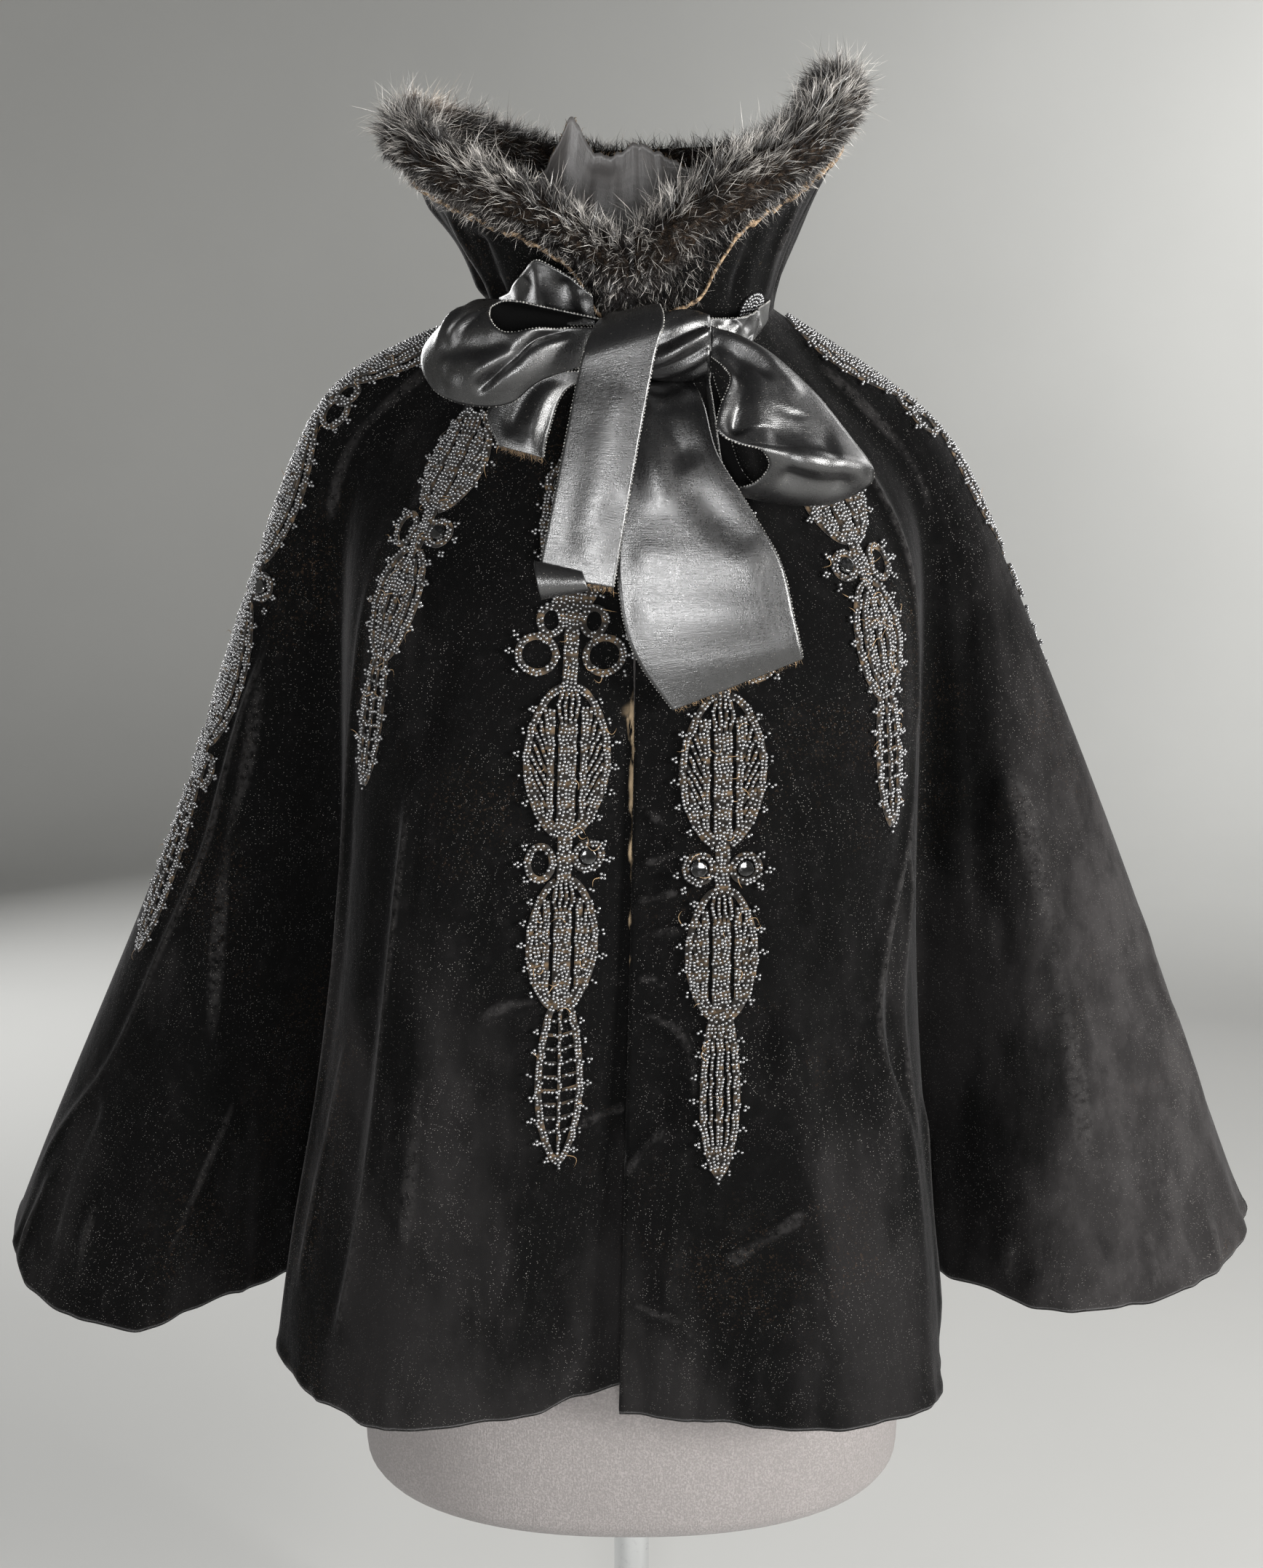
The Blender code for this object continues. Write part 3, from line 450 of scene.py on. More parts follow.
# Bead fan on the collar: degrees round the neck, the radius there, its foot and its courses
MOTIF_TURN = 308
MOTIF_ROUND = 0.088
MOTIF_FOOT = 0.004
MOTIF_COURSES = 5

# Dress form: rings from its flat underside to the top of the neck
FormRing = namedtuple("FormRing", "height half_width front back")
FORM_RINGS = table_of(
    FormRing,
    (262, 172, 118, 112), (270, 184, 129, 121), (288, 188, 132, 124), (360, 185, 121, 126),
    (450, 170, 110, 118), (560, 136, 95, 94), (630, 124, 88, 84), (720, 136, 104, 90),
    (800, 148, 126, 98), (860, 154, 120, 102), (920, 160, 92, 98), (960, 162, 68, 84),
    (985, 159, 60, 70), (1003, 145, 53.5, 60), (1016, 118, 44, 54), (1028, 92, 44, 52),
    (1044, 66, 44, 50), (1064, 54, 44, 48), (1078, 50, 41, 45), (1083, 42, 34, 38),
)
FORM_SIDES = 84
FORM_STEPS = 96
FORM_SQUARENESS = 2.25
POLE_RADIUS = 0.0127
POLE_EDGE = 0.0006
BASE_RADIUS = 0.155
BASE_THICKNESS = 0.012
BASE_EDGE = 0.004


def blend(rows, places):
    """Reads a table between its rows, on a smooth curve through them."""
    rows = np.asarray(rows, dtype=float)
    places = np.asarray(places, dtype=float)
    first = np.clip(places.astype(int), 0, len(rows) - 2)
    f = (places - first)[..., None]
    before = rows[np.maximum(first - 1, 0)]
    here = rows[first]
    after = rows[first + 1]
    beyond = rows[np.minimum(first + 2, len(rows) - 1)]
    bend = 2 * before - 5 * here + 4 * after - beyond
    turn = 3 * here - before - 3 * after + beyond
    return 0.5 * (2 * here + (after - before) * f + bend * f * f + turn * f ** 3)


def spread(table, count):
    """A table read at evenly spaced places from its first row to its last."""
    return blend(table, np.linspace(0, len(table) - 1, count))


def unit(vectors):
    """Vectors of length one."""
    return vectors / np.maximum(np.linalg.norm(vectors, axis=-1, keepdims=True), 1e-12)


def ease(value):
    """Nought to one with a soft start and a soft end."""
    value = np.clip(value, 0, 1)
    return value * value * (3 - 2 * value)


def running(points, axis=0):
    """The distance along a row of points, from its start to each of them."""
    steps = np.linalg.norm(np.diff(points, axis=axis), axis=-1)
    start = np.zeros_like(np.take(steps, [0], axis=axis))
    return np.concatenate([start, np.cumsum(steps, axis=axis)], axis=axis)


def read_along(points, run, spots):
    """Points at distances along a row of points, whose running distance is run."""
    return np.column_stack([np.interp(spots, run, column) for column in points.T])


def wander(places, scale, seed):
    """A smooth uneven wave between about -1 and 1 along places."""
    rng = np.random.default_rng(seed)
    total = np.zeros_like(places, dtype=float)
    for octave in (1.0, 1.7, 2.9):
        total += np.sin(places * octave * 2 * np.pi / scale + rng.uniform(0, 6.28)) / octave
    return total / 1.9


def neck_points(turns):
    """Points on the neck seam, at degrees round from the centre front by the wearer's right."""
    angle = np.radians(turns)
    depth = np.where(np.cos(angle) > 0, NECK_FRONT, NECK_BACK)
    height = NECK_HEIGHT - NECK_SLOPE * np.cos(angle)
    return np.stack([-NECK_HALF_WIDTH * np.sin(angle), -depth * np.cos(angle), height], axis=-1)


def all_folds():
    """The lines of the cape in order: right front, round the back, left front."""
    left_back = [f._replace(turn=360 - f.turn, bend_x=-f.bend_x, hem_x=-f.hem_x) for f in BACK_FOLDS[-2::-1]]
    left = [f._replace(turn=360 - f.turn) for f in reversed(LEFT_FOLDS)]
    return np.array([*RIGHT_FOLDS, *BACK_FOLDS, *left_back, *left])


CAPE = all_folds()
LAST_LINE = len(CAPE) - 1
RIGHT_SEAM = len(RIGHT_FOLDS) - 2
LEFT_SEAM = LAST_LINE - RIGHT_SEAM


def bare_cape(lines, shares):
    """The plain hang of the cape: a grid of points, lines across by shares of the way down, and lengths."""
    turn, bend_x, bend_y, bend_z, hem_x, hem_y, hem_z, bow = blend(CAPE, lines).T
    neck = neck_points(turn)[:, None]
    bend = np.stack([bend_x, bend_y, bend_z], axis=-1)[:, None]
    hem = np.stack([hem_x, hem_y, hem_z], axis=-1)[:, None]
    t = np.linspace(0, 1, LINE_SAMPLES)[None, :, None]
    pull = 2 * BEND_WEIGHT * t * (1 - t)
    points = ((1 - t) ** 2 * neck + pull * bend + t ** 2 * hem) / ((1 - t) ** 2 + pull + t ** 2)
    outward = unit((bend + hem) * (1.0, 1.0, 0.0))
    fallen = np.clip((bend[..., 2] - points[..., 2]) / (bend[..., 2] - hem[..., 2]), 0, 1)
    points = points + outward * (bow[:, None] * np.sin(np.pi * fallen) ** 2)[..., None]
    lengths = running(points, axis=1)
    grid = np.stack([read_along(row, run, shares * run[-1]) for row, run in zip(points, lengths)])
    return grid, lengths[:, -1]


def normals_of(points):
    """The normals of a grid of points."""
    return unit(np.cross(np.gradient(points, axis=0), np.gradient(points, axis=1)))


def read_grid(grid, lines, shares, places):
    """A grid's values at places given as (line, share)."""
    i = np.interp(places[:, 0], lines, np.arange(len(lines)))
    j = np.interp(places[:, 1], shares, np.arange(len(shares)))
    low_i = np.minimum(i.astype(int), len(lines) - 2)
    low_j = np.minimum(j.astype(int), len(shares) - 2)
    f = (i - low_i)[:, None]
    g = (j - low_j)[:, None]
    near = (1 - g) * grid[low_i, low_j] + g * grid[low_i, low_j + 1]
    far = (1 - g) * grid[low_i + 1, low_j] + g * grid[low_i + 1, low_j + 1]
    return (1 - f) * near + f * far


def press(points, lines, shares, creases, strength=1.0):
    """Presses creases into a sheet: out along ridges, in along troughs. Gives the points and how rubbed they
    are along the ridges, which is also a painted sheen there.
    """
    normals = normals_of(points)
    moved = np.zeros(points.shape[:2])
    wear = np.zeros(points.shape[:2])
    for number, crease in enumerate(creases):
        steps = np.linspace(0, len(crease.path) - 1, 12 * len(crease.path))
        trail = read_grid(points, lines, shares, blend(crease.path, steps))
        reach = 3 * crease.width
        near = np.all((points > trail.min(axis=0) - reach) & (points < trail.max(axis=0) + reach), axis=-1)
        spots = points[near]
        least = np.full(len(spots), 1e9)
        along = np.zeros(len(spots))
        for k, (start, end) in enumerate(zip(trail, trail[1:])):
            stretch = end - start
            f = np.clip((spots - start) @ stretch / max(stretch @ stretch, 1e-12), 0, 1)
            gap = np.linalg.norm(spots - start - f[:, None] * stretch, axis=1)
            closer = gap < least
            least[closer] = gap[closer]
            along[closer] = (k + f[closer]) / (len(trail) - 1)
        fade = ease(np.minimum(along, 1 - along) / CREASE_END) * (1 + 0.35 * np.sin(9 * along + 2.1 * number))
        hump = np.exp(-(least / crease.width) ** 2)
        skirt = np.exp(-(least / (SKIRT_WIDTH * crease.width)) ** 2)
        moved[near] += strength * crease.depth * fade * ((1 + SKIRT_SHARE) * hump - SKIRT_SHARE * skirt)
        # A pale line along each ridge: partly real rubbing, partly a painted sheen where the fold catches
        # light
        if crease.depth > 0:
            worn_and_sheen = np.exp(-(least / (WEAR_AND_SHEEN_WIDTH * crease.width)) ** 2) * fade
            wear[near] = np.maximum(wear[near], worn_and_sheen)
    return points + normals * moved[..., None], wear


def even_lines(first, last, count):
    """Places across a panel, evenly spaced along its hem."""
    fine = np.linspace(first, last, 500)
    run = running(bare_cape(fine, np.array([0.98, 1.0]))[0][:, 1])
    return np.interp(np.linspace(0, run[-1], count), run, fine)


Hang = namedtuple("Hang", "lines shares points normals lengths runs wear gold")


@functools.cache
def hung_cape():
    """The whole cape as it hangs: creases, puckered hem, rubbed and bare places, and painted sheen on the
    ridges.
    """
    lines = np.concatenate([
        even_lines(0, RIGHT_SEAM - SEAM_INSET, FRONT_LINES),
        even_lines(RIGHT_SEAM + SEAM_INSET, LEFT_SEAM - SEAM_INSET, BACK_LINES),
        even_lines(LEFT_SEAM + SEAM_INSET, LAST_LINE, FRONT_LINES)])
    shares = np.linspace(0, 1, CAPE_ROWS) ** ROW_CROWDING
    points, lengths = bare_cape(lines, shares)
    left = [Crease(tuple((LAST_LINE - a, b) for a, b in c.path), c.width, c.depth) for c in LEFT_CREASES]
    points, wear = press(points, lines, shares, [*RIGHT_CREASES, *BACK_CREASES, *left])
    above = (1 - shares)[None] * lengths[:, None]
    points = pucker_hem(points, above)
    uneven = 0.5 + 0.5 * wander(running(points[:, -1]), 0.09, 5)[:, None]
    wear = np.maximum(wear, np.clip(0.5 * np.exp(-(above / HEM_WEAR) ** 2) * uneven, 0, 1))
    gold = np.zeros_like(wear)
    edge = ease((shares - BARE_TOP) / 0.05) * ease((BARE_FOOT - shares) / 0.05)
    gold[0] = edge
    gold[1] = edge * np.clip(0.55 + 0.5 * wander(shares, 0.06, 8), 0, 1)
    gold[-1] = 0.8 * edge * np.clip(0.5 + 0.6 * wander(shares, 0.05, 9), 0, 1)
    patch = 0.74 * np.exp(-((shares - BARE_PATCH) / 0.016) ** 2)
    fade = np.linspace(1, 0.1, BARE_LINES)[:, None]
    gold[:BARE_LINES] = np.maximum(gold[:BARE_LINES], patch[None] * fade)
    return Hang(lines, shares, points, normals_of(points), lengths, running(points), wear, gold)


def pucker_hem(points, above):
    """Puckers along the hem, uneven in width and length, and the turned edge itself."""
    rng = np.random.default_rng(41)
    run = running(points[:, -1])
    moved = np.zeros(points.shape[:2])
    place = 0.0
    while place < run[-1]:
        place += HEM_PUCKER_STEP * rng.uniform(0.45, 1.7)
        width = rng.uniform(0.0045, 0.0100)
        height = rng.uniform(0.018, 0.060)
        depth = rng.uniform(0.0010, 0.0030) * rng.choice((-1, 1))
        across = np.exp(-((run - place) / width) ** 2)[:, None]
        moved += depth * across * np.exp(-(above / height) ** 2)
    moved += 0.0009 * np.exp(-((above - 0.007) / 0.004) ** 2)
    moved -= 0.0022 * ease((HEM_TURN - above) / HEM_TURN)
    points = points + normals_of(points) * moved[..., None]
    points[..., 2] += 0.0016 * wander(run, 0.085, 17)[:, None] * np.exp(-(above / 0.05) ** 2)
    return points


def lay_grid(bm, points, values, flat=None):
    """Adds a grid to a mesh and lays it on points. values are attributes of its vertices, flat its UV map."""
    lines, rows = points.shape[:2]
    faces = len(bm.faces)
    floats = bm.verts.layers.float
    layers = {key: floats.get(key) or floats.new(key) for key in values}
    made = bmesh.ops.create_grid(bm, x_segments=lines - 1, y_segments=rows - 1, size=0.5)
    spots = {}
    for vert in made["verts"]:
        i = round((vert.co.x + 0.5) * (lines - 1))
        j = round((vert.co.y + 0.5) * (rows - 1))
        vert.co = points[i, j]
        spots[vert] = (i, j)
        for key, layer in layers.items():
            vert[layer] = values[key][i, j]
    bm.faces.ensure_lookup_table()
    added = bm.faces[faces:]
    if flat is not None:
        run = running(points[:, rows // 2])
        width = running(points[lines // 2])
        for loop in (loop for face in added for loop in face.loops):
            i, j = spots[loop.vert]
            loop[flat].uv = (run[i], width[j])
    return added


def put(data):
    """Makes an object of a mesh, a light or a camera, at the origin, and puts it in the scene."""
    made = bpy.data.objects.new(data.name, data)
    bpy.context.scene.collection.objects.link(made)
    return made


def mesh_of(name, bm):
    """Turns a working mesh into one that an object can hold."""
    mesh = bpy.data.meshes.new(name)
    bm.to_mesh(mesh)
    bm.free()
    return mesh


def cover(mesh, finish, sharp=None):
    """Makes an object of a mesh, with smooth faces and a finish."""
    mesh.shade_smooth()
    if sharp:
        mesh.set_sharp_from_angle(angle=sharp)
    mesh.materials.append(finish)
    return put(mesh)


def place_mesh(mesh, finish, sharp=None):
    """Makes a covered object that rides on the one body."""
    piece = cover(mesh, finish, sharp)
    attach(piece, "root")
    return piece


def settle(name, bm, finish, sharp=None):
    """Makes a covered object of a working mesh, riding on the one body."""
    return place_mesh(mesh_of(name, bm), finish, sharp)


def thicken(piece, thickness):
    """Gives a sheet its thickness, half to each side."""
    thick = piece.modifiers.new("thickness", "SOLIDIFY")
    thick.thickness = thickness
    thick.offset = 0
    return thick


def shell(name, outer, thickness, values, finish):
    """Cloth with a fine face on its outside, a plainer one inside and a rim that joins them."""
    bm = bmesh.new()
    lay_grid(bm, outer, values)
    coarse = slice(None, None, INNER_STEP)
    inner = (outer - thickness * normals_of(outer))[coarse, coarse]
    lining = lay_grid(bm, inner, {})
    bmesh.ops.reverse_faces(bm, faces=lining)
    bmesh.ops.bridge_loops(bm, edges=[edge for edge in bm.edges if edge.is_boundary])
    bmesh.ops.recalc_face_normals(bm, faces=bm.faces)
    return settle(name, bm, finish)


def sheet(name, points, thickness, finish, values=None, closed=False, back=None):
    """A thin sheet of even thickness about a grid of points. A closed one joins its first and last lines.

    back is the finish of the side that faces away from the grid's normals.
    """
    bm = bmesh.new()
    if closed:
        points = np.concatenate([points, points[:1]])
    lay_grid(bm, points, values or {}, bm.loops.layers.uv.new("cloth"))
    if closed:
        bmesh.ops.remove_doubles(bm, verts=bm.verts, dist=1e-6)
        bmesh.ops.recalc_face_normals(bm, faces=bm.faces)
    piece = settle(name, bm, finish)
    thick = thicken(piece, thickness)
    if back:
        piece.data.materials.append(back)
        thick.material_offset = 1
    return piece


def roll(name, points, finish, sharp=None):
    """A closed solid through rings of points, with both ends filled."""
    bm = bmesh.new()
    lay_grid(bm, np.concatenate([points, points[:, :1]], axis=1), {})
    bmesh.ops.remove_doubles(bm, verts=bm.verts, dist=1e-6)
    bmesh.ops.holes_fill(bm, edges=[edge for edge in bm.edges if edge.is_boundary], sides=0)
    bmesh.ops.recalc_face_normals(bm, faces=bm.faces)
    return settle(name, bm, finish, sharp)


def strips(name, spines, widths, finish, values, facing):
    """Many thin tapering blades in one mesh, each along a spine of points. facing turns their flat sides."""
    count, steps = spines.shape[:2]
    along = unit(np.gradient(spines, axis=1))
    across = unit(np.cross(along, facing[:, None]))
    taper = np.linspace(1, 0, steps)[None, :, None] ** 0.7
    half = across * taper * widths[:, None, None] / 2
    left = (spines - half)[:, :-1]
    right = (spines + half)[:, :-1]
    verts = np.concatenate([np.stack([left, right], axis=2).reshape(count, -1, 3), spines[:, -1:]], axis=1)
    per = verts.shape[1]
    pattern = []
    for k in range(steps - 2):
        a = 2 * k
        pattern += [(a, a + 1, a + 3), (a, a + 3, a + 2)]
    pattern.append((per - 3, per - 2, per - 1))
    faces = (np.array(pattern)[None] + per * np.arange(count)[:, None, None]).reshape(-1, 3)
    mesh = bpy.data.meshes.new(name)
    mesh.from_pydata(verts.reshape(-1, 3), [], faces)
    tip = np.concatenate([np.repeat(np.linspace(0, 1, steps)[:-1], 2), [1.0]])
    layers = {"tip": np.tile(tip, count)}
    layers.update({key: np.repeat(value, per) for key, value in values.items()})
    for key, value in layers.items():
        mesh.attributes.new(key, "FLOAT", "POINT").data.foreach_set("value", value.astype(np.float32))
    return place_mesh(mesh, finish)


@functools.cache
def bead_shape():
    """The points and faces of one round bead, to be repeated."""
    bm = bmesh.new()
    bmesh.ops.create_icosphere(bm, subdivisions=1, radius=1.0)
    bm.verts.index_update()
    points = np.array([vert.co for vert in bm.verts])
    faces = np.array([[vert.index for vert in face.verts] for face in bm.faces])
    bm.free()
    return points, faces


def scatter(name, places, sizes, finish, turns=None):
    """One mesh of beads set down at many places, each with its own size and turn."""
    points, faces = bead_shape()
    local = points[None] * sizes[:, None, None]
    if turns is not None:
        local = np.einsum("nij,nvj->nvi", turns, local)
    verts = (local + places[:, None]).reshape(-1, 3)
    every = (faces[None] + len(points) * np.arange(len(places))[:, None, None]).reshape(-1, faces.shape[1])
    mesh = bpy.data.meshes.new(name)
    mesh.from_pydata(verts, [], every)
    return place_mesh(mesh, finish)


class Wire:
    """A socket that Python sums can use: each step adds a Math node."""

    def __init__(self, finish, socket):
        self.finish = finish
        self.socket = socket

    def step(self, operation, first, second):
        """One Math node."""
        return self.finish.node("ShaderNodeMath", {"operation": operation}, {0: first, 1: second})

    def __add__(self, other):
        return self.step("ADD", self, other)

    def __sub__(self, other):
        return self.step("SUBTRACT", self, other)

    def __rsub__(self, other):
        return self.step("SUBTRACT", other, self)

    def __mul__(self, other):
        return self.step("MULTIPLY", self, other)

    def __gt__(self, other):
        return self.step("GREATER_THAN", self, other)

    __radd__ = __add__
    __rmul__ = __mul__

    def between(self, low, high):
        """Nought at low, one at high, with soft ends; low may be the greater."""
        return self.finish.node("ShaderNodeMapRange", {"interpolation_type": "SMOOTHSTEP"},
                                {0: self, 1: low, 2: high})

    def other(self, output):
        """Another output of the same node."""
        return Wire(self.finish, self.socket.node.outputs[output])


class Finish:
    """A material with one main shader. Constants go on the shader's own sockets."""

    def __init__(self, name, constants):
        self.material = bpy.data.materials.new(name)
        self.material.use_nodes = True
        self.tree = self.material.node_tree
        self.shader = self.tree.nodes["Principled BSDF"]
        for key, value in constants.items():
            self.shader.inputs[key].default_value = value

    def node(self, kind, settings=None, sockets=None, out=0):
        """Adds a node, its settings first and then the values or links of its sockets. Gives one output."""
        node = self.tree.nodes.new(kind)
        for key, value in (settings or {}).items():
            setattr(node, key, value)
        for key, value in (sockets or {}).items():
            if isinstance(value, Wire):
                self.tree.links.new(value.socket, node.inputs[key])
            else:
                node.inputs[key].default_value = value
        return Wire(self, node.outputs[out])

    @functools.cached_property
    def place(self):
        """Object coordinates."""
        return self.node("ShaderNodeTexCoord", out="Object")

    @functools.cached_property
    def cloth(self):
        """The sheet's own flat coordinates, in metres."""
        return self.node("ShaderNodeUVMap", {"uv_map": "cloth"})

    def noise(self, scale, detail=2.0, roughness=0.5, stretch=None, over=None):
        """Noise at a number of cells to the metre, over the object or other coordinates, stretched or not."""
        over = self.place if over is None else over
        if stretch:
            over = self.node("ShaderNodeMapping", {}, {"Vector": over, "Scale": stretch})
        return self.node("ShaderNodeTexNoise", {}, {"Vector": over, "Scale": scale, "Detail": detail,
                                                    "Roughness": roughness})

    def specks(self, scale, edge, core, few):
        """Specks at some of many scattered points: their edge, their core and how few of them show."""
        cell = self.node("ShaderNodeTexVoronoi", {"feature": "F1"}, {"Vector": self.place, "Scale": scale})
        return cell.between(edge, core) * (cell.other("Color") > few)

    def attribute(self, name):
        """A value that the mesh carries at its points."""
        return self.node("ShaderNodeAttribute", {"attribute_name": name}, out="Fac")

    def mix(self, factor, first, second):
        """One colour into another."""
        colours = [c if isinstance(c, Wire) else (*c, 1.0) for c in (first, second)]
        return self.node("ShaderNodeMix", {"data_type": "RGBA"}, {0: factor, 6: colours[0], 7: colours[1]}, 2)

    def feed(self, socket, wire):
        """Links a wire to the shader."""
        self.tree.links.new(wire.socket, self.shader.inputs[socket])

    def bump(self, height, distance, strength):
        """Fine relief."""
        sockets = {"Strength": strength, "Distance": distance, "Height": height}
        self.feed("Normal", self.node("ShaderNodeBump", {}, sockets, "Normal"))

    def done(self, colour, roughness):
        """Links the colour and the roughness, and gives the material."""
        self.feed("Base Color", colour)
        self.feed("Roughness", roughness)
        return self.material


def tint(colour, factor):
    """A colour made darker or lighter."""
    return tuple(factor * c for c in colour)


def mottled(name, constants, noise, band, colours, roughness, relief=None):
    """A finish with one mottling, which mixes two colours, dulls the gloss and may raise the surface."""
    finish = Finish(name, constants)
    tone = finish.noise(*noise).between(*band)
    if relief:
        finish.bump(tone, *relief)
    return finish.done(finish.mix(tone, *colours), roughness[0] + roughness[1] * tone)


# Each finish is kept once it is made, so that pieces of one stuff share it
@functools.cache
def velvet_finish():
    """Black silk velvet: dark pile, soft sheen, patches of turned pile, rubbed ridges and specks of lint.

    Painted light and shade lie in the pile's colour, and a painted sheen along the rubbed ridges.
    """
    cloth = bpy.context.scene.cape_cloth
    deep = cloth.velvet_colour
    finish = Finish("silk_velvet", {
        "Specular IOR Level": 0.12, "Sheen Weight": cloth.velvet_sheen, "Sheen Roughness": 0.30,
        "Sheen Tint": (0.86, 0.84, 0.85, 1.0)})
    height = finish.node("ShaderNodeSeparateXYZ", {}, {0: finish.place}, "Z")
    side = height.other("X")
    # Patches of turned pile, with painted light: paler towards the hem, darker up high
    nap_and_painted_light = finish.noise(11, 4, 0.58, (1, 1, 0.4)) - 0.30 * (height - 0.75) - 0.05
    # Painted light on the wearer's left side, and painted shade by the wearer's right front
    nap_and_painted_light = nap_and_painted_light + 0.15 * side.between(0.18, 0.32) - 0.06 * side.between(-0.20, -0.28)
    # Painted light on the back, where the lamps fall dimly
    nap_and_painted_light = nap_and_painted_light + 0.10 * height.other("Y").between(0.04, 0.14)
    brushed_and_painted_light = nap_and_painted_light.between(0.47, 0.70)
    cloudy = finish.noise(80, 4, 0.65).between(0.48, 0.78)
    pile = finish.noise(1900)
    crushed = finish.noise(62, 3, 0.6, (1, 1, 0.5))
    grain = finish.noise(1500, 2, 0.8).between(0.60, 0.74)
    # Rubbed ridges and hem; along the ridges this is partly a painted sheen
    worn_and_sheen = finish.attribute("wear").between(0.30, 1.0) * finish.noise(210, 3, 0.7).between(0.30, 0.62)
    brown = finish.noise(7, 3, 0.6).between(0.54, 0.68) * finish.noise(480, 3, 0.75).between(0.56, 0.70)
    dusty = 0.25 + 0.75 * finish.noise(15, 3, 0.6).between(0.42, 0.62)
    lint = finish.specks(820, 0.24, 0.10, 0.45) * dusty
    crumbs = finish.specks(190, 0.075, 0.04, 0.80) * dusty
    # Painted light: a paler, mottled patch of pile on the wearer's left side, which faces the key light
    painted_side_light = side.between(0.20, 0.33) * nap_and_painted_light.between(0.36, 0.62)
    rubbed = finish.noise(36, 4, 0.7, (1, 1, 0.6)).between(0.36, 0.66)
    torn = finish.noise(260, 3, 0.7, (1, 1, 0.22)).between(0.34, 0.50)
    bare = finish.attribute("gold").between(0.45, 0.95) * torn
    colour = finish.mix(brushed_and_painted_light * 0.8 + cloudy * 0.2, deep, tint(deep, 22.0))
    colour = finish.mix(grain * 0.4 * brushed_and_painted_light, colour, tint(deep, 50.0))
    colour = finish.mix(painted_side_light * (0.35 + 0.65 * rubbed), colour, tint(deep, 52.0))
    colour = finish.mix(brown * 0.4, colour, (0.075, 0.046, 0.028))
    colour = finish.mix(worn_and_sheen * 0.20, colour, cloth.wear_and_sheen_colour)
    colour = finish.mix(bare, colour, cloth.edge_colour)
    colour = finish.mix(lint * 0.55, colour, cloth.lint_colour)
    colour = finish.mix(crumbs * 0.8, colour, cloth.lint_colour)
    finish.bump(0.20 * pile + 0.4 * lint + 0.9 * crushed, 0.0024, 0.5)
    return finish.done(colour, 0.95 - 0.3 * worn_and_sheen)


@functools.cache
def satin_finish():
    """The black satin of the ribbon."""
    bow = bpy.context.scene.cape_bow
    return satin("ribbon_satin", bow.satin_colour, bow.satin_roughness, 0.9)


@functools.cache
def lining_finish():
    """The duller satin of the lining, whose grey is partly its own and partly painted light."""
    bow = bpy.context.scene.cape_bow
    return satin("lining_satin", bow.lining_colour, bow.satin_roughness + 0.14, 0.6)


def satin(name, deep, roughness, gloss):
    """Satin: fine cross ribs, grain, soft streaks, dull places and dust."""
    finish = Finish(name, {"IOR": 1.6, "Specular IOR Level": gloss})
    ribs = finish.noise(1.0, 1, stretch=(2300, 90, 1), over=finish.cloth)
    floats = finish.noise(1.0, 2, stretch=(160, 1900, 1), over=finish.cloth)
    streaks = finish.noise(1.0, 3, stretch=(14, 160, 1), over=finish.cloth).between(0.35, 0.7)
    grain = finish.noise(1300, 2, 0.7)
    dull = finish.noise(46, 4, 0.6).between(0.42, 0.72)
    dust = finish.specks(560, 0.18, 0.08, 0.70)
    colour = finish.mix(streaks * 0.4 + dull * 0.3, deep, tint(deep, 1.8))
    colour = finish.mix(dust * 0.6, colour, (0.30, 0.27, 0.24))
    finish.bump(ribs + 0.6 * floats + 1.4 * grain, 0.00026, 0.40)
    return finish.done(colour, roughness + 0.04 * dull + 0.03 * streaks + 0.30 * (grain - 0.5))


@functools.cache
def ribbon_back_finish():
    """The ribbon's dull wrong side, darker than its face, which partly stands in as painted shade inside the
    loops.
    """
    deep = bpy.context.scene.cape_bow.satin_colour
    return mottled("ribbon_back", {"Specular IOR Level": 0.12}, (900, 3, 0.7), (0.35, 0.7),
                   (tint(deep, 0.10), tint(deep, 0.28)), (0.80, 0.1), (0.0002, 0.5))


@functools.cache
def selvedge_finish():
    """The thread of a ribbon's looped edge, pale partly in its own right and partly as painted glints."""
    return mottled("selvedge_thread", {"Specular IOR Level": 0.3}, (240, 3, 0.6), (0.3, 0.7),
                   ((0.12, 0.115, 0.11), (0.46, 0.45, 0.42)), (0.55, 0.2))


@functools.cache
def fray_finish():
    """Tan and black ends of thread."""
    finish = Finish("frayed_thread", {"Specular IOR Level": 0.2, "Sheen Weight": 0.2})
    tone = finish.attribute("tone")
    colour = finish.mix(tone, (0.012, 0.011, 0.010), bpy.context.scene.cape_beads.thread_colour)
    return finish.done(colour, 0.85 - 0.2 * tone)


@functools.cache
def fur_finish():
    """Dark brown-grey fur with silver tips on some locks and a warm tan patch.

    The pale tips gather on the roll's upper side as painted light.
    """
    fur = bpy.context.scene.cape_fur
    finish = Finish("fur_hair", {"Specular IOR Level": 0.7})
    tip = finish.attribute("tip")
    warm = finish.attribute("warm")
    drift = finish.noise(24, 3, 0.6).between(0.50, 0.68)
    pale = (finish.attribute("tone") + 0.5 * warm).between(0.24, 0.72) * tip.between(0.15, 0.85)
    colour = finish.mix(drift * 0.5 * tip, fur.root_colour, fur.brown_colour)
    colour = finish.mix(warm * (1 - tip), colour, (0.22, 0.11, 0.045))
    colour = finish.mix(pale, colour, fur.tip_colour)
    colour = finish.mix(warm * 0.5 * pale, colour, (0.62, 0.50, 0.36))
    return finish.done(colour, 0.34 + 0.25 * drift)


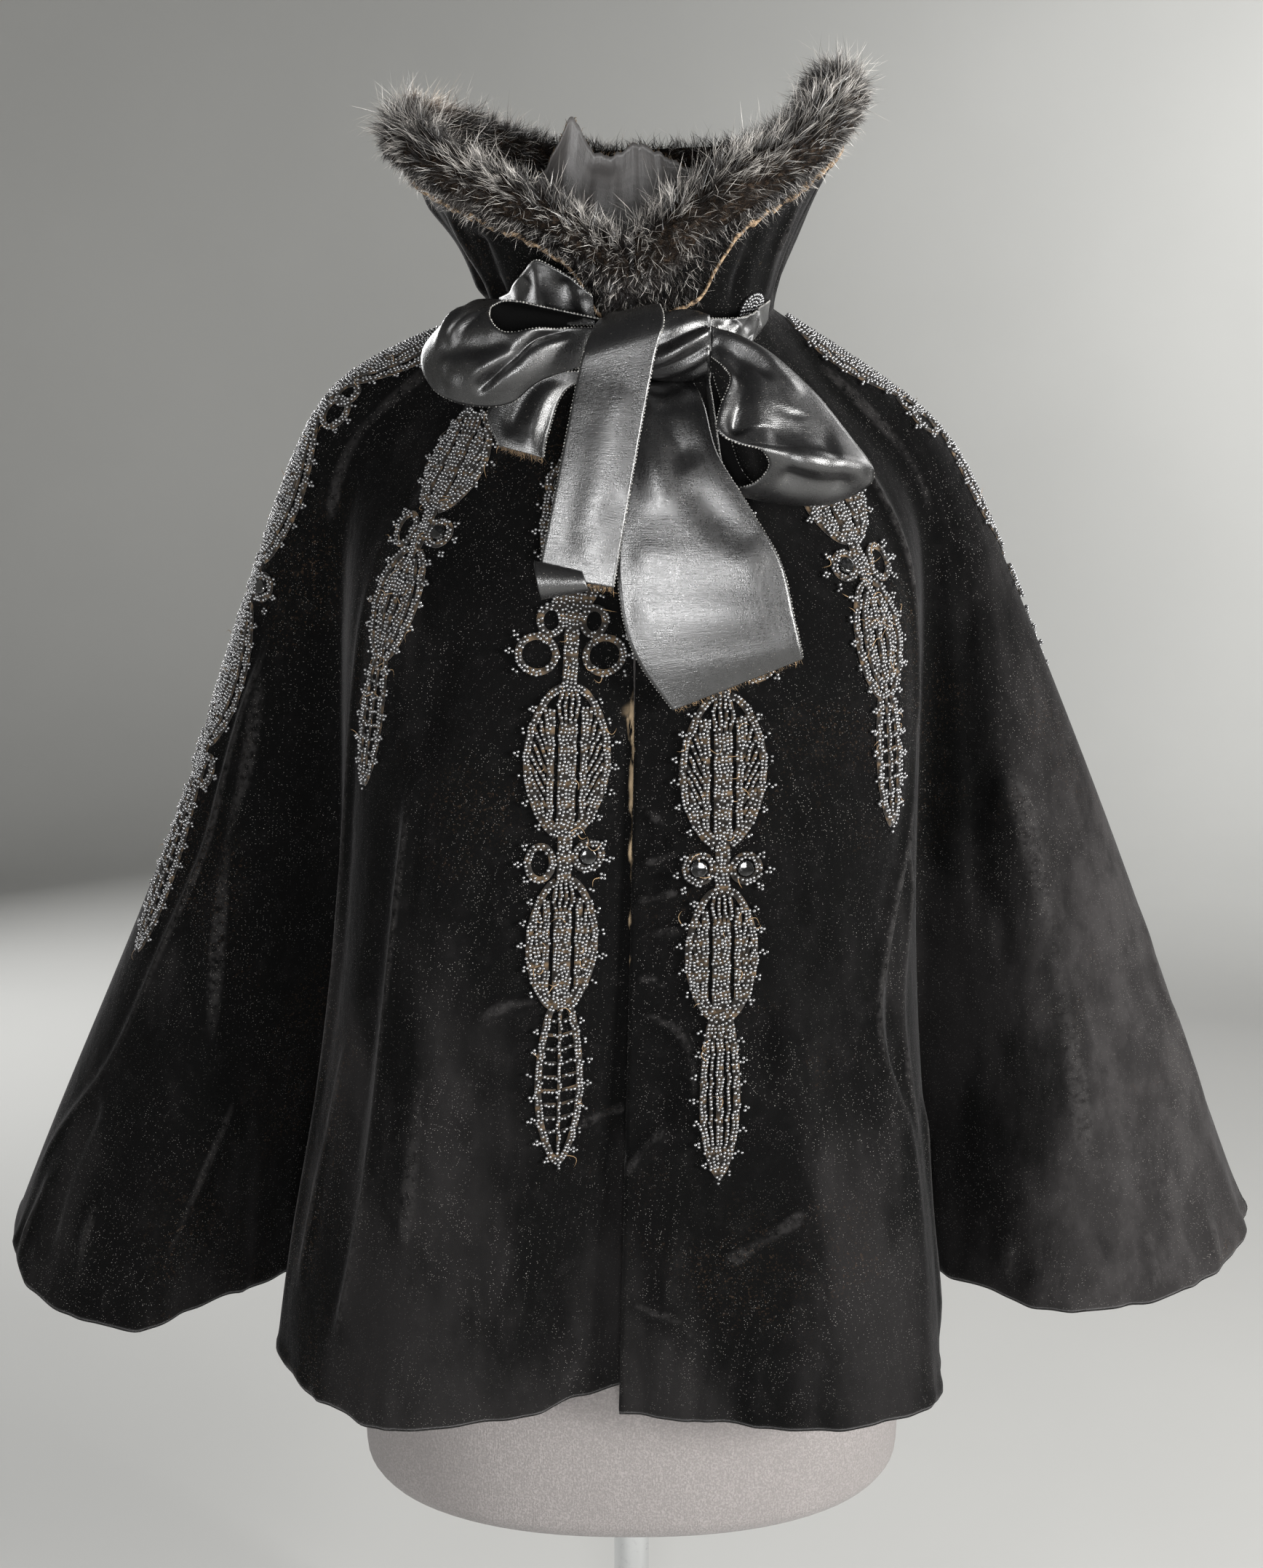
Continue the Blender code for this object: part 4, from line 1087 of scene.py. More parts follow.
@functools.cache
def underwool_finish():
    """The dense dull wool under the longer hairs."""
    fur = bpy.context.scene.cape_fur
    return mottled("fur_underwool", {"Specular IOR Level": 0.0}, (260, 3, 0.7), (0.4, 0.7),
                   (fur.root_colour, fur.brown_colour), (0.95, 0.05), (0.002, 1.0))


@functools.cache
def hide_finish():
    """The fur's raw hide edge: tan, torn and scuffed."""
    finish = Finish("hide_edge", {"Specular IOR Level": 0.2})
    grain = finish.noise(380, 4, 0.65)
    tan = bpy.context.scene.cape_fur.hide_colour
    finish.bump(grain, 0.0008, 0.8)
    return finish.done(finish.mix(grain.between(0.35, 0.65), (0.055, 0.034, 0.020), tan), 0.75 + 0.2 * grain)


@functools.cache
def jet_finish():
    """Jet beads with a steely lustre, duller in places."""
    base = bpy.context.scene.cape_beads.jet_colour
    return mottled("jet_glass", {"IOR": 1.7, "Specular IOR Level": 0.8, "Metallic": 0.7}, (260, 2, 0.6),
                   (0.45, 0.75), (base, tint(base, 0.48)), (0.17, 0.16))


@functools.cache
def disc_finish():
    """The larger cut discs: black mirror glass."""
    return mottled("disc_glass", {"IOR": 1.7, "Specular IOR Level": 0.8}, (260, 3, 0.6), (0.5, 0.8),
                   ((0.004, 0.004, 0.004), (0.030, 0.030, 0.032)), (0.07, 0.2))


@functools.cache
def jersey_finish():
    """Grey-brown knitted cover: fine ribs, flecks and a soft pile."""
    base = bpy.context.scene.cape_form.jersey_colour
    finish = Finish("form_jersey_cover", {"Specular IOR Level": 0.15, "Sheen Weight": 0.12})
    ribs = finish.noise(1.0, 2, stretch=(1100, 1100, 130))
    fleck = finish.noise(720, 3, 0.7).between(0.40, 0.66)
    cloud = finish.noise(12, 3).between(0.35, 0.7)
    colour = finish.mix(fleck, tint(base, 0.80), tint(base, 1.12))
    finish.bump(ribs + 0.5 * fleck, 0.0005, 0.7)
    return finish.done(finish.mix(cloud * 0.25, colour, tint(base, 0.7)), 0.82 + 0.15 * fleck)


@functools.cache
def chrome_finish():
    """Polished chrome with fine scratches and dull spots."""
    base = bpy.context.scene.cape_form.chrome_colour
    finish = Finish("stand_chrome_plate", {"Metallic": 1.0})
    scratch = finish.noise(1.0, 2, stretch=(900, 900, 14)).between(0.5, 0.75)
    spot = finish.noise(130, 4, 0.7).between(0.55, 0.72)
    return finish.done(finish.mix(spot * 0.5, base, tint(base, 0.62)), 0.09 + 0.12 * scratch + 0.18 * spot)


@functools.cache
def backdrop_finish():
    """Plain pale studio floor and wall."""
    base = bpy.context.scene.cape_stage.floor_colour
    return mottled("studio_backdrop", {"Specular IOR Level": 0.1}, (1.4, 3), (0.3, 0.7),
                   (tint(base, 0.96), base), (0.85, 0.1))


def declare(node):
    """Hides the solid in model.glb that a piece stands for."""
    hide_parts(node)


def make_panels():
    """The two velvet fronts and the back."""
    cloth = bpy.context.scene.cape_cloth
    hang = hung_cape()
    starts = (0, FRONT_LINES, FRONT_LINES + BACK_LINES, len(hang.lines))
    cuts = (("front_right", (0.60, 0.72), 0.300), ("back", (1.12, 0.70), 0.556),
            ("front_left", (0.60, 0.72), 0.296))
    for (node, flat, area), first, last in zip(cuts, starts, starts[1:]):
        values = {"wear": hang.wear[first:last], "gold": hang.gold[first:last]}
        points = hang.points[first:last]
        piece = shell(node + "_velvet", points, cloth.velvet_thickness, values, velvet_finish())
        declare(node)


def collar_points(turn, rise, flare, share, out=0.0):
    """Points on the collar, a share of the way up it and moved out from it."""
    base = neck_points(turn)
    outward = unit(base * (1.0, 1.0, 0.0))
    reach = np.asarray(flare * share ** COLLAR_CURVE + out)
    height = np.asarray(2 * SEAM + rise * share)
    return base + outward * reach[..., None] + height[..., None] * np.array([0.0, 0.0, 1.0])


def collar_sizes(turn):
    """The collar's rise and flare at degrees round the neck."""
    table = np.array(COLLAR_LINES)
    return [np.interp(turn, table[:, 0], table[:, k]) for k in (1, 2)]


def make_collar():
    """The flared velvet stand collar."""
    cloth = bpy.context.scene.cape_cloth
    turn, rise, flare, _ = spread(COLLAR_LINES, COLLAR_STEPS).T
    shares = np.linspace(0, 1, COLLAR_ROWS)
    points = collar_points(turn[:, None], rise[:, None], flare[:, None], shares[None])
    points, wear = press(points, turn, shares, COLLAR_CREASES, -1.0)
    gold = np.zeros_like(wear)
    for spot_turn, spot_share, width in COLLAR_WORN:
        near = np.exp(-((turn[:, None] - spot_turn) / width) ** 2 - ((shares[None] - spot_share) / 0.05) ** 2)
        gold = np.maximum(gold, 0.55 * near)
    values = {"wear": wear[:, ::-1], "gold": gold[:, ::-1]}
    piece = sheet("collar_velvet", points[:, ::-1], cloth.velvet_thickness, velvet_finish(), values)
    declare("collar")


def fur_frame(count):
    """Places along the fur: turn, rise, flare, size, the strip's centre, and the ways in, up and along."""
    turn, rise, flare, size = spread(FUR_LINES, count).T
    edge = collar_points(turn, rise, flare, np.ones(count))
    up = unit(edge - collar_points(turn, rise, flare, np.full(count, 0.8)))
    along = unit(np.gradient(edge, axis=0))
    inward = unit(np.cross(along, up))
    inward *= np.sign(-np.sum(inward[:, :2] * edge[:, :2], axis=1))[:, None]
    centre = edge + inward * (FUR_SHIFT * size)[:, None] + up * (FUR_RISE * size)[:, None]
    return np.column_stack([turn, rise, flare, size, centre, inward, up, along])


def make_fur():
    """The fur strip: an undercoat round the collar's edge, locks of hair over it, and the raw hide edge."""
    fur = bpy.context.scene.cape_fur
    rng = np.random.default_rng(23)
    frames = fur_frame(FUR_SECTIONS)
    angles = np.linspace(0, 2 * np.pi, FUR_SIDES, endpoint=False)[None, :, None]
    centre, inward, up = (frames[:, None, k:k + 3] for k in (4, 7, 10))
    swell = (FUR_CORE + 0.05 * wander(np.arange(FUR_SECTIONS), 11, 3))[:, None, None]
    rings = centre + frames[:, 3][:, None, None] * swell * (np.cos(angles) * inward + np.sin(angles) * up)
    undercoat = roll("fur_undercoat", rings, underwool_finish())
    hair = make_hair("fur_hair", frames, fur.hairs, rng, 1.0)
    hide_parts("fur_trim")
    make_hair("fur_guard_hair", frames, fur.guard_hairs, rng, 1.4)
    make_hide_edge()


def make_hide_edge():
    """The torn edge of the fur's hide, on the collar's outside."""
    turn, rise, flare, _ = spread(COLLAR_LINES, HIDE_SECTIONS).T
    low = hide_line(turn) - 0.03 * np.clip(wander(turn, 7, 6), -0.6, 1)
    high = low + 0.050 + 0.03 * wander(turn, 5, 9)
    rows = np.linspace(0, 1, HIDE_ROWS)[None]
    shares = low[:, None] + (high - low)[:, None] * rows
    lift = 0.0017 + 0.0016 * np.sin(np.pi * rows)
    edge = collar_points(turn[:, None], rise[:, None], flare[:, None], shares, lift)
    hide = sheet("fur_hide_edge", edge[:, ::-1], HIDE_THICKNESS, hide_finish())


def make_hair(name, frames, count, rng, stretch):
    """Tufts of tapering hairs: over the roll, and down the collar's outside.

    stretch above 1 makes sparse guard hairs, which stand apart from the tufts.
    """
    fur = bpy.context.scene.cape_fur
    places = rng.uniform(0, len(frames) - 1.001, count)
    here = blend(frames, places)
    turn, rise, flare, size = here[:, :4].T
    centre, inward, up, along = (here[:, k:k + 3] for k in (4, 7, 10, 13))
    down = np.array([0.0, 0.0, -1.0])
    degrees = rng.uniform(FUR_FIRST, FUR_LAST, count)
    outside = rng.random(count) < FUR_OUTSIDE
    low = hide_line(turn)
    share = low + 0.05 + (0.99 - low) * rng.random(count)
    ring = np.where(outside, share * 14, (degrees - FUR_FIRST) / 16)
    locks = np.floor(places * 0.9).astype(int) * 20 + np.floor(ring).astype(int) + LOCKS // 2 * outside
    drift = rng.normal(size=(LOCKS, 3))[locks]
    loose = rng.normal(size=(count, 3))
    lay = along * np.sin(np.radians(turn))[:, None]
    theta = np.radians(degrees)[:, None]
    rising = np.sin(np.radians(degrees))

    radial = np.cos(theta) * inward + np.sin(theta) * up
    root = centre + (FUR_CORE - 0.06) * size[:, None] * radial
    way = unit(radial + 0.40 * lay + 0.48 * drift + 0.20 * loose)
    length = (0.45 * size + rng.uniform(0.002, 0.007, count)) * rng.uniform(0.65, 1.1, count) * stretch
    length *= 0.85 + 0.40 * np.clip(rising, 0, 1) - 0.35 * np.clip(-np.cos(np.radians(degrees)), 0, 1)
    length *= rng.uniform(0.75, 1.25, LOCKS)[locks]
    face = collar_points(turn, rise, flare, share, 0.0012)
    way_out = unit(-0.55 * inward + 0.50 * down + 0.45 * lay + 0.40 * drift + 0.20 * loose)
    root = np.where(outside[:, None], face, root)
    way = np.where(outside[:, None], way_out, way)
    length = np.where(outside, rng.uniform(0.004, 0.009, count) * stretch, length)
    bend = 0.22 * loose + 0.35 * lay + 0.18 * down
    middle = root + way * (0.55 * length)[:, None]
    tip = root + unit(way + 0.5 * bend) * length[:, None]
    full = np.maximum(np.bincount(locks, minlength=LOCKS), 1)
    point = np.column_stack([np.bincount(locks, tip[:, axis], LOCKS) / full for axis in range(3)])[locks]
    pull = np.where(stretch > 1, 0.0, rng.uniform(0.25, 0.70, count))[:, None] * (point - tip)
    middle = middle + 0.45 * pull
    tip = tip + pull

    # Painted light: pale tips go mostly to hairs on the upper side of the roll, where light falls from above
    painted_top_light = np.clip(rising, 0, 1) * ~outside
    patch = np.clip(0.55 + 0.75 * wander(turn, 31, 14) + 0.35 * wander(turn + degrees, 61, 15), 0.12, 1.25)
    tone = (0.14 + 1.00 * painted_top_light ** 1.4) * patch * rng.random(LOCKS)[locks] + 0.24 * rng.random(count)
    tone = np.where(stretch > 1, rng.uniform(0.35, 1.0, count), tone)
    warm = np.exp(-((turn - FUR_TAN_TURN) / 10) ** 2) * ~outside * np.clip(1.2 * rising, 0, 1)
    spines = np.stack([root, middle, tip], axis=1)
    widths = fur.hair_width * rng.uniform(0.6, 1.3, count)
    values = {"tone": tone, "warm": warm}
    hair = strips(name, spines, widths, fur_finish(), values, rng.normal(size=(count, 3)))
    return hair


def hide_line(turn):
    """The share of the collar's height down to which the fur hangs, which is lower at its front ends."""
    side = np.minimum(turn, 360 - turn)
    front = np.where(turn > 180, ease((35 - side) / 12), ease((20 - side) / 9))
    return 0.84 - 0.55 * front + 0.02 * wander(turn, 34, 4)


def make_lining():
    """The loose satin lining inside the back of the collar."""
    bow = bpy.context.scene.cape_bow
    turn, rise, lean = spread(LINING_LINES, LINING_STEPS).T
    shares = np.linspace(0, 1, LINING_ROWS)
    rise = rise + 0.0016 * wander(turn, 9, 12)
    foot = -(0.0011 + bow.satin_thickness / 2 + 2 * SEAM)
    points = collar_points(turn[:, None], rise[:, None], -lean[:, None], shares[None], foot)
    points, _ = press(points, turn, shares, LINING_CREASES)
    piece = sheet("collar_lining_satin", points, bow.satin_thickness, lining_finish())
    declare("collar_lining")
    fringe(piece.name + "_fray", points[:, -1], points[:, -1] - points[:, -2], 130, 0.0024, 61)


def fringe(name, edge, outward, count, length, seed, tan=0.6):
    """Frayed threads along a raw edge."""
    rng = np.random.default_rng(seed)
    run = running(edge)
    spots = rng.uniform(0, run[-1], count)
    root = read_along(edge, run, spots)
    out = unit(read_along(outward, run, spots))
    way = unit(out + 0.5 * rng.normal(size=(count, 3)))
    reach = length * rng.uniform(0.4, 1.8, count)[:, None]
    bend = 0.5 * rng.normal(size=(count, 3))
    start = root - out * FRAY_HIDDEN
    spines = np.stack([start, root + 0.5 * way * reach, root + unit(way + bend) * reach], axis=1)
    tone = np.where(rng.random(count) < tan, rng.uniform(0.5, 1.0, count), rng.uniform(0.0, 0.3, count))
    widths = rng.uniform(0.0003, 0.0007, count)
    piece = strips(name, spines, widths, fray_finish(), {"tone": tone}, rng.normal(size=(count, 3)))


def ribbon_points(table, sections, across, arch):
    """A ribbon between its two edges, arched across its width."""
    rows = spread(table, sections)
    f = np.linspace(0, 1, across)[None, :, None]
    flat = rows[:, None, :3] * (1 - f) + rows[:, None, 3:] * f
    swell = ease(np.linspace(0, 1, sections) / 0.2) * ease(np.linspace(1, 0, sections) / 0.2 + 0.3)
    return flat + normals_of(flat) * (arch * 4 * f * (1 - f)) * swell[:, None, None]


def neck_ribbon_points(table, sections, across):
    """A ribbon end that lies outside the collar's foot and runs to the knot."""
    turn, low, high, out = spread(table, sections).T
    rise, flare = (value[:, None] for value in collar_sizes(turn))
    f = np.linspace(0, 1, across)[None]
    height = low[:, None] * (1 - f) + high[:, None] * f
    share = np.maximum(height / rise, 0)
    velvet = bpy.context.scene.cape_cloth.velvet_thickness
    points = collar_points(turn[:, None], rise, flare, share, velvet + out[:, None])
    points[..., 2] += np.minimum(height, 0)
    return points


Stretch = namedtuple("Stretch", "node table sections across arch creases flat area held")
# Places on a ribbon are (share of its length, share of its width)
STRETCHES = (
    Stretch("bow_loop_right", LOOP_RIGHT, 150, 30, 0.005, creases(
        (3.4, -6.2, (0.33, 0.82), (0.256, 0.47), (0.146, 0.19), (0.07, 0.04)),
        (7.5, -4, (0.54, 0.7), (0.4, 0.34), (0.22, 0.08)),
        (12, 3.4, (0.22, 0.2), (0.33, 0.52), (0.43, 0.86)),
        (15, 2.6, (0.5, 0.28), (0.6, 0.4), (0.66, 0.6)),
        (5.5, 3, (0.98, 0.4), (0.84, 0.45), (0.7, 0.5)),
    ), (0.038, 0.225), 0.0084, "gathered"),
    Stretch("bow_loop_left", LOOP_LEFT, 170, 34, 0.004, creases(
        (6, -5.6, (0.04, 0.25), (0.12, 0.25), (0.22, 0.18), (0.32, 0.12)),
        (2.6, -0.5, (0.215, 0.47), (0.235, 0.6), (0.246, 0.73)),
        (8.5, 3.2, (0.477, 0.19), (0.452, 0.54), (0.432, 0.97)),
        (7, -3, (0.56, 0.1), (0.55, 0.45), (0.53, 0.85)),
        (5, -3.4, (0.01, 0.55), (0.06, 0.56), (0.15, 0.6)),
        (6, 2.6, (0.01, 0.78), (0.07, 0.78), (0.2, 0.8)),
        (11, -1.6, (0.3, 0.3), (0.34, 0.55), (0.34, 0.8)),
        (5.5, 3, (0.98, 0.5), (0.88, 0.48), (0.76, 0.45)),
    ), (0.048, 0.215), 0.0102, "gathered"),
    Stretch("tail_front", TAIL_FRONT, 130, 30, 0.0014, creases(
        (10, 0.7, (0.62, 0.6), (0.78, 0.62), (0.97, 0.66)),
        (9, -0.6, (0.66, 0.24), (0.8, 0.24), (0.97, 0.28)),
        (7, -0.6, (0.8, 0.95), (0.84, 0.72), (0.9, 0.5)),
    ), (0.045, 0.185), 0.008, "hung"),
    Stretch("tail_long", TAIL_LONG, 140, 46, 0.0024, creases(
        (12.5, 1, (0.55, 0.05), (0.558, 0.49), (0.58, 0.95)),
        (15, 1.2, (0.68, 0.04), (0.69, 0.44), (0.719, 0.97)),
        (13, -0.5, (0.76, 0.95), (0.8, 0.6), (0.84, 0.1)),
        (10, -2.6, (0.03, 0.24), (0.18, 0.42), (0.337, 0.64)),
        (10, 1.6, (0.14, 0.12), (0.3, 0.22), (0.45, 0.3)),
        (10, -1.2, (0.36, 0.6), (0.46, 0.72), (0.52, 0.9)),
    ), (0.074, 0.195), 0.0141, "hung"),
    Stretch("tail_short", TAIL_SHORT, 70, 20, 0.0015, creases(
        (5, -2, (0.05, 0.4), (0.4, 0.42), (0.85, 0.4)),
        (5, 1.8, (0.1, 0.7), (0.5, 0.72), (0.95, 0.74)),
    ), (0.024, 0.098), 0.0022, "hung"),
)
RIBBON_CREASES = creases(
    (5, -2.6, (0.8, 0.05), (0.78, 0.45), (0.74, 0.92)),
    (7, 2.4, (0.55, 0.05), (0.58, 0.5), (0.62, 0.95)),
    (4, 1.6, (0.92, 0.1), (0.9, 0.5), (0.88, 0.9)),
    (6, -1.6, (0.3, 0.1), (0.36, 0.5), (0.44, 0.9)),
)
PICOT_STEP = 0.0020
PICOT_RADIUS = 0.00062


def make_picots(edges):
    """The small loops of thread along the ribbons' edges, as one mesh."""
    rng = np.random.default_rng(77)
    places = []
    for edge in edges:
        run = running(edge)
        spots = np.arange(PICOT_STEP / 2, run[-1], PICOT_STEP)
        spots = spots + rng.uniform(-0.0002, 0.0002, len(spots))
        places.append(read_along(edge, run, spots))
    places = np.concatenate(places)
    sizes = PICOT_RADIUS * rng.uniform(0.7, 1.25, len(places))
    piece = scatter("ribbon_picots", places, sizes, selvedge_finish())


def make_ribbon(node, points, creases, over=False):
    """One creased stretch of ribbon, with its satin side turned over if need be. Gives its points."""
    lines, shares = (np.linspace(0, 1, count) for count in points.shape[:2])
    points, _ = press(points, lines, shares, creases)
    if over:
        points = points[:, ::-1]
    thick = bpy.context.scene.cape_bow.satin_thickness
    piece = sheet(node + "_satin", points, thick, satin_finish(), back=ribbon_back_finish())
    declare(node)
    return points


def make_bow():
    """The bow: two loops, a gathered knot, three tails and the ribbon ends at the neck."""
    thick = bpy.context.scene.cape_bow.satin_thickness
    edges = []
    for stretch in STRETCHES:
        points = ribbon_points(stretch.table, stretch.sections, stretch.across, stretch.arch)
        points = make_ribbon(stretch.node, points, stretch.creases)
        edges += [points[:, 0], points[:, -1]]
        if stretch.node.startswith("tail"):
            fringe(stretch.node + "_fray", points[-1], points[-1] - points[-2], FRAY_ENDS, FRAY_LENGTH,
                   len(edges))
    for node, table, flat, area, over in (("ribbon_right", RIBBON_RIGHT, (0.030, 0.092), 0.0027, False),
                                          ("ribbon_left", RIBBON_LEFT, (0.022, 0.078), 0.0017, True)):
        points = neck_ribbon_points(table, RIBBON_STEPS, RIBBON_ROWS)
        points = make_ribbon(node, points, RIBBON_CREASES, over)
        edges += [points[:, 0], points[:, -1]]
    make_knot(thick)
    make_curled_end(thick)
    make_picots(edges)


def make_knot(thick):
    """The knot: a band of ribbon in deep uneven gathers."""
    angle = np.linspace(0, 2 * np.pi, KNOT_STEPS, endpoint=False)[:, None]
    along = np.linspace(-0.5, 0.5, KNOT_ROWS)[None]
    twist = angle + KNOT_TWIST * along + 0.5 * along * along
    gathers = KNOT_GATHER * np.sin(4 * twist + 1.6 * np.sin(2 * twist))
    gathers = gathers + KNOT_CRIMP * np.sin(9 * twist + 1.3 + 3 * along)
    waist = (1 + gathers) * (1 - KNOT_TAPER * (2 * along) ** 2)
    x = np.broadcast_to(KNOT_LENGTH * along, waist.shape)
    points = np.stack([x, KNOT_DEPTH * waist * np.cos(angle), KNOT_HEIGHT * waist * np.sin(angle)], axis=-1)
    piece = sheet("bow_knot_satin", points + np.array(KNOT_CENTRE), thick, satin_finish(), closed=True)
    declare("bow_knot")


def make_curled_end(thick):
    """The lower corner of the front tail, rolled forwards and under."""
    f = np.linspace(0, 1, 26)[:, None]
    turn = np.radians(np.linspace(-105, 150, 30))[None]
    radius = CURL_RADIUS - CURL_TAPER * f
    x = CURL_START[0] + CURL_RUN * f + 0.0020 * np.sin(turn)
    y = CURL_START[1] - radius * (np.cos(turn) + 0.15)
    z = CURL_START[2] - CURL_FALL * f - radius * (1 + np.sin(turn))
    points = np.stack(np.broadcast_arrays(x, y, z), axis=-1)
    piece = sheet("tail_front_curl", points[::-1], thick, satin_finish(), back=ribbon_back_finish())
    fringe("tail_front_curl_fray", points[:, -1], points[:, -1] - points[:, -2], 120, 0.0020, 91, 0.8)


Strand = namedtuple("Strand", "across way rows")
COURSE = np.linspace(0.0, 1.0, 48)
INNER_REACH = 0.0098
INNER_GAP = 0.0062
SLANT_STEP = 0.0068
SLANT_FALL = 0.0180
FAN_END = 0.26
SLOT_STRAND = 4
TAIL_END = 0.97
RUNG_STEP = 0.0088
EYE_WAY = 0.60
CLUSTER_STEP = 0.0138


def half_width(lobe, f):
    """A lobe's half width, a share of the way down it."""
    end = TIP if lobe.kind in ("tail", "plait") else WAIST
    waist = WAIST + (end - WAIST) * f
    return waist + (lobe.half_width - waist) * np.sin(np.pi * np.clip(f, 0, 1)) ** LOBE_FULLNESS


def outline(lobe, start):
    """The ways down a lobe, and the places across it of its outer strand."""
    return start + COURSE * lobe.length, np.maximum(half_width(lobe, COURSE) - BEAD_STEP, 0.0)


def both(across, way, rows):
    """A strand and its mirrored twin."""
    across = np.asarray(across, dtype=float)
    return [Strand(across, way, rows), Strand(-across, way, rows)]


def stem(lobe, start, first, last, rows):
    """A straight strand down a lobe's middle, between two shares of its length."""
    return Strand(np.zeros(2), start + np.array([first, last]) * lobe.length, rows)


def ring(centre, radius_across, radius_along, rows):
    """A loop of beads."""
    angle = np.linspace(0, 2 * np.pi, 40)
    return Strand(centre[0] + radius_across * np.cos(angle), centre[1] + radius_along * np.sin(angle), rows)


def pierced_leaf(lobe, start):
    """Double outer strands, a broad core, inner strands, long slanting ones and a fan above the core."""
    ways, edge = outline(lobe, start)
    found = both(edge, ways, 2)
    found.append(stem(lobe, start, 0.25, 1.0, 5))
    low = COURSE > 0.14
    inner = np.minimum(INNER_REACH, half_width(lobe, COURSE) - INNER_GAP)
    found += both(inner[low], ways[low], 2)
    for spot in np.arange(0.06, 0.80, SLANT_STEP / lobe.length):
        drop = min(spot + SLANT_FALL / lobe.length, 0.96)
        inside = min(INNER_REACH, half_width(lobe, drop) - INNER_GAP) + BEAD_STEP
        reach = np.array([half_width(lobe, spot) - 2 * BEAD_STEP, inside])
        if reach[0] - reach[1] > 0.5 * BEAD_STEP:
            found += both(reach, start + lobe.length * np.array([spot, drop]), 1)
    fan = np.linspace(0.0, FAN_END, 16)
    gaps = 0.0021 + 0.0016 * np.sin(np.pi * fan / FAN_END)
    found += [Strand(k * gaps, start + fan * lobe.length, 1) for k in (-1.5, -0.5, 0.5, 1.5)]
    return found


def filled_leaf(lobe, start):
    """Strands laid side by side from the middle to the outer edge, with two narrow slots left open."""
    ways, edge = outline(lobe, start)
    found = both(edge, ways, 2)
    found.append(stem(lobe, start, 0.0, 1.0, 2))
    for k in range(1, 9):
        across = edge - (1.6 + 1.12 * k) * BEAD_STEP
        kept = across > (1.2 + 0.5 * (k % 2)) * BEAD_STEP
        if k == SLOT_STRAND:
            kept &= (COURSE < 0.42) | (COURSE > 0.74)
        if kept.sum() > 4:
            found += both(across[kept], ways[kept], 1)
    return found


def eyes(lobe, start, taken):
    """A stem with an open loop on each side, or a disc where one is sewn."""
    found = [stem(lobe, start, 0.0, 1.0, 4)]
    for side in (-1, 1):
        if side in taken:
            continue
        across = 0.40 * lobe.half_width
        centre = (side * (lobe.half_width - across), start + EYE_WAY * lobe.length)
        along = min(0.40 * lobe.length, 0.0115)
        found.append(ring(centre, across - BEAD_STEP, along - 0.5 * BEAD_STEP, 2))
        if lobe.kind == "eyes":
            found.append(ring((side * 0.0125, start + 0.16 * lobe.length), 0.0066, 0.0080, 2))
    return found


def plait(lobe, start):
    """A close-sewn tail: strands side by side that draw together at the tip."""
    ways, edge = outline(lobe, start)
    return both(edge, ways, 2) + both(0.52 * edge, ways, 1) + [stem(lobe, start, 0.0, TAIL_END, 2)]


def lattice(lobe, start):
    """The tail: two outer strands that meet at the tip, a middle one and rungs that leave open squares."""
    ways, edge = outline(lobe, start)
    found = both(edge, ways, 2)
    found.append(stem(lobe, start, 0.0, TAIL_END, 1))
    for spot in np.arange(0.08, 0.84, RUNG_STEP / lobe.length):
        reach = half_width(lobe, spot) - 1.8 * BEAD_STEP
        if reach > BEAD_STEP:
            found += both([reach, 0.8 * BEAD_STEP], start + lobe.length * np.array([spot, spot + 0.012]), 1)
    return found


def cluster(across, way, side, turn=0.0):
    """One cluster of beads on a stalk, on the outside of a strand."""
    spots = np.array([(0.3, 0.0), (1.2, -0.55), (1.2, 0.55), (2.05, 0.0)]) * BEAD_STEP
    c, s = math.cos(turn), math.sin(turn)
    return (spots @ np.array([[c, s], [-s, c]])) * (side, 1) + (across, way)


def outer_clusters(lobe, start):
    """Clusters along a lobe's outer edge: places across and down."""
    found = []
    if lobe.kind in ("eyes", "pinch"):
        for side in (-1, 1):
            for turn in (-0.9, 0.0, 0.9):
                across = lobe.half_width - 0.0085 + 0.0090 * math.cos(turn)
                way = start + EYE_WAY * lobe.length + 0.0100 * math.sin(turn)
                found.append(cluster(side * across, way, side, turn))
        return found
    for k, f in enumerate(np.arange(0.12, 0.95, CLUSTER_STEP / lobe.length)):
        for side in (-1, 1):
            place = f + 0.0022 * side / lobe.length + 0.0014 * math.sin(5.3 * k) / lobe.length
            found.append(cluster(side * half_width(lobe, place), start + place * lobe.length, side))
    return found


def drop_strands(drop):
    """All the strands of a drop, and the places of its clusters."""
    strands, spots = [], []
    start = 0.0
    kinds = {"leaf": pierced_leaf, "filled": filled_leaf, "plait": plait, "tail": lattice}
    for lobe in drop.lobes:
        taken = [int(np.sign(across)) for way, across, _ in drop.discs if start < way < start + lobe.length]
        strands += kinds[lobe.kind](lobe, start) if lobe.kind in kinds else eyes(lobe, start, taken)
        spots += outer_clusters(lobe, start)
        start += lobe.length
    for way, across, radius in drop.discs:
        for reach in (radius + 0.6 * BEAD_STEP, radius + 1.6 * BEAD_STEP):
            strands.append(ring((across, way), reach, reach, 1))
    spots.append(np.array([(0.0, start + 0.0012), (0.0, start + 0.0034)]))
    return strands, np.concatenate(spots)


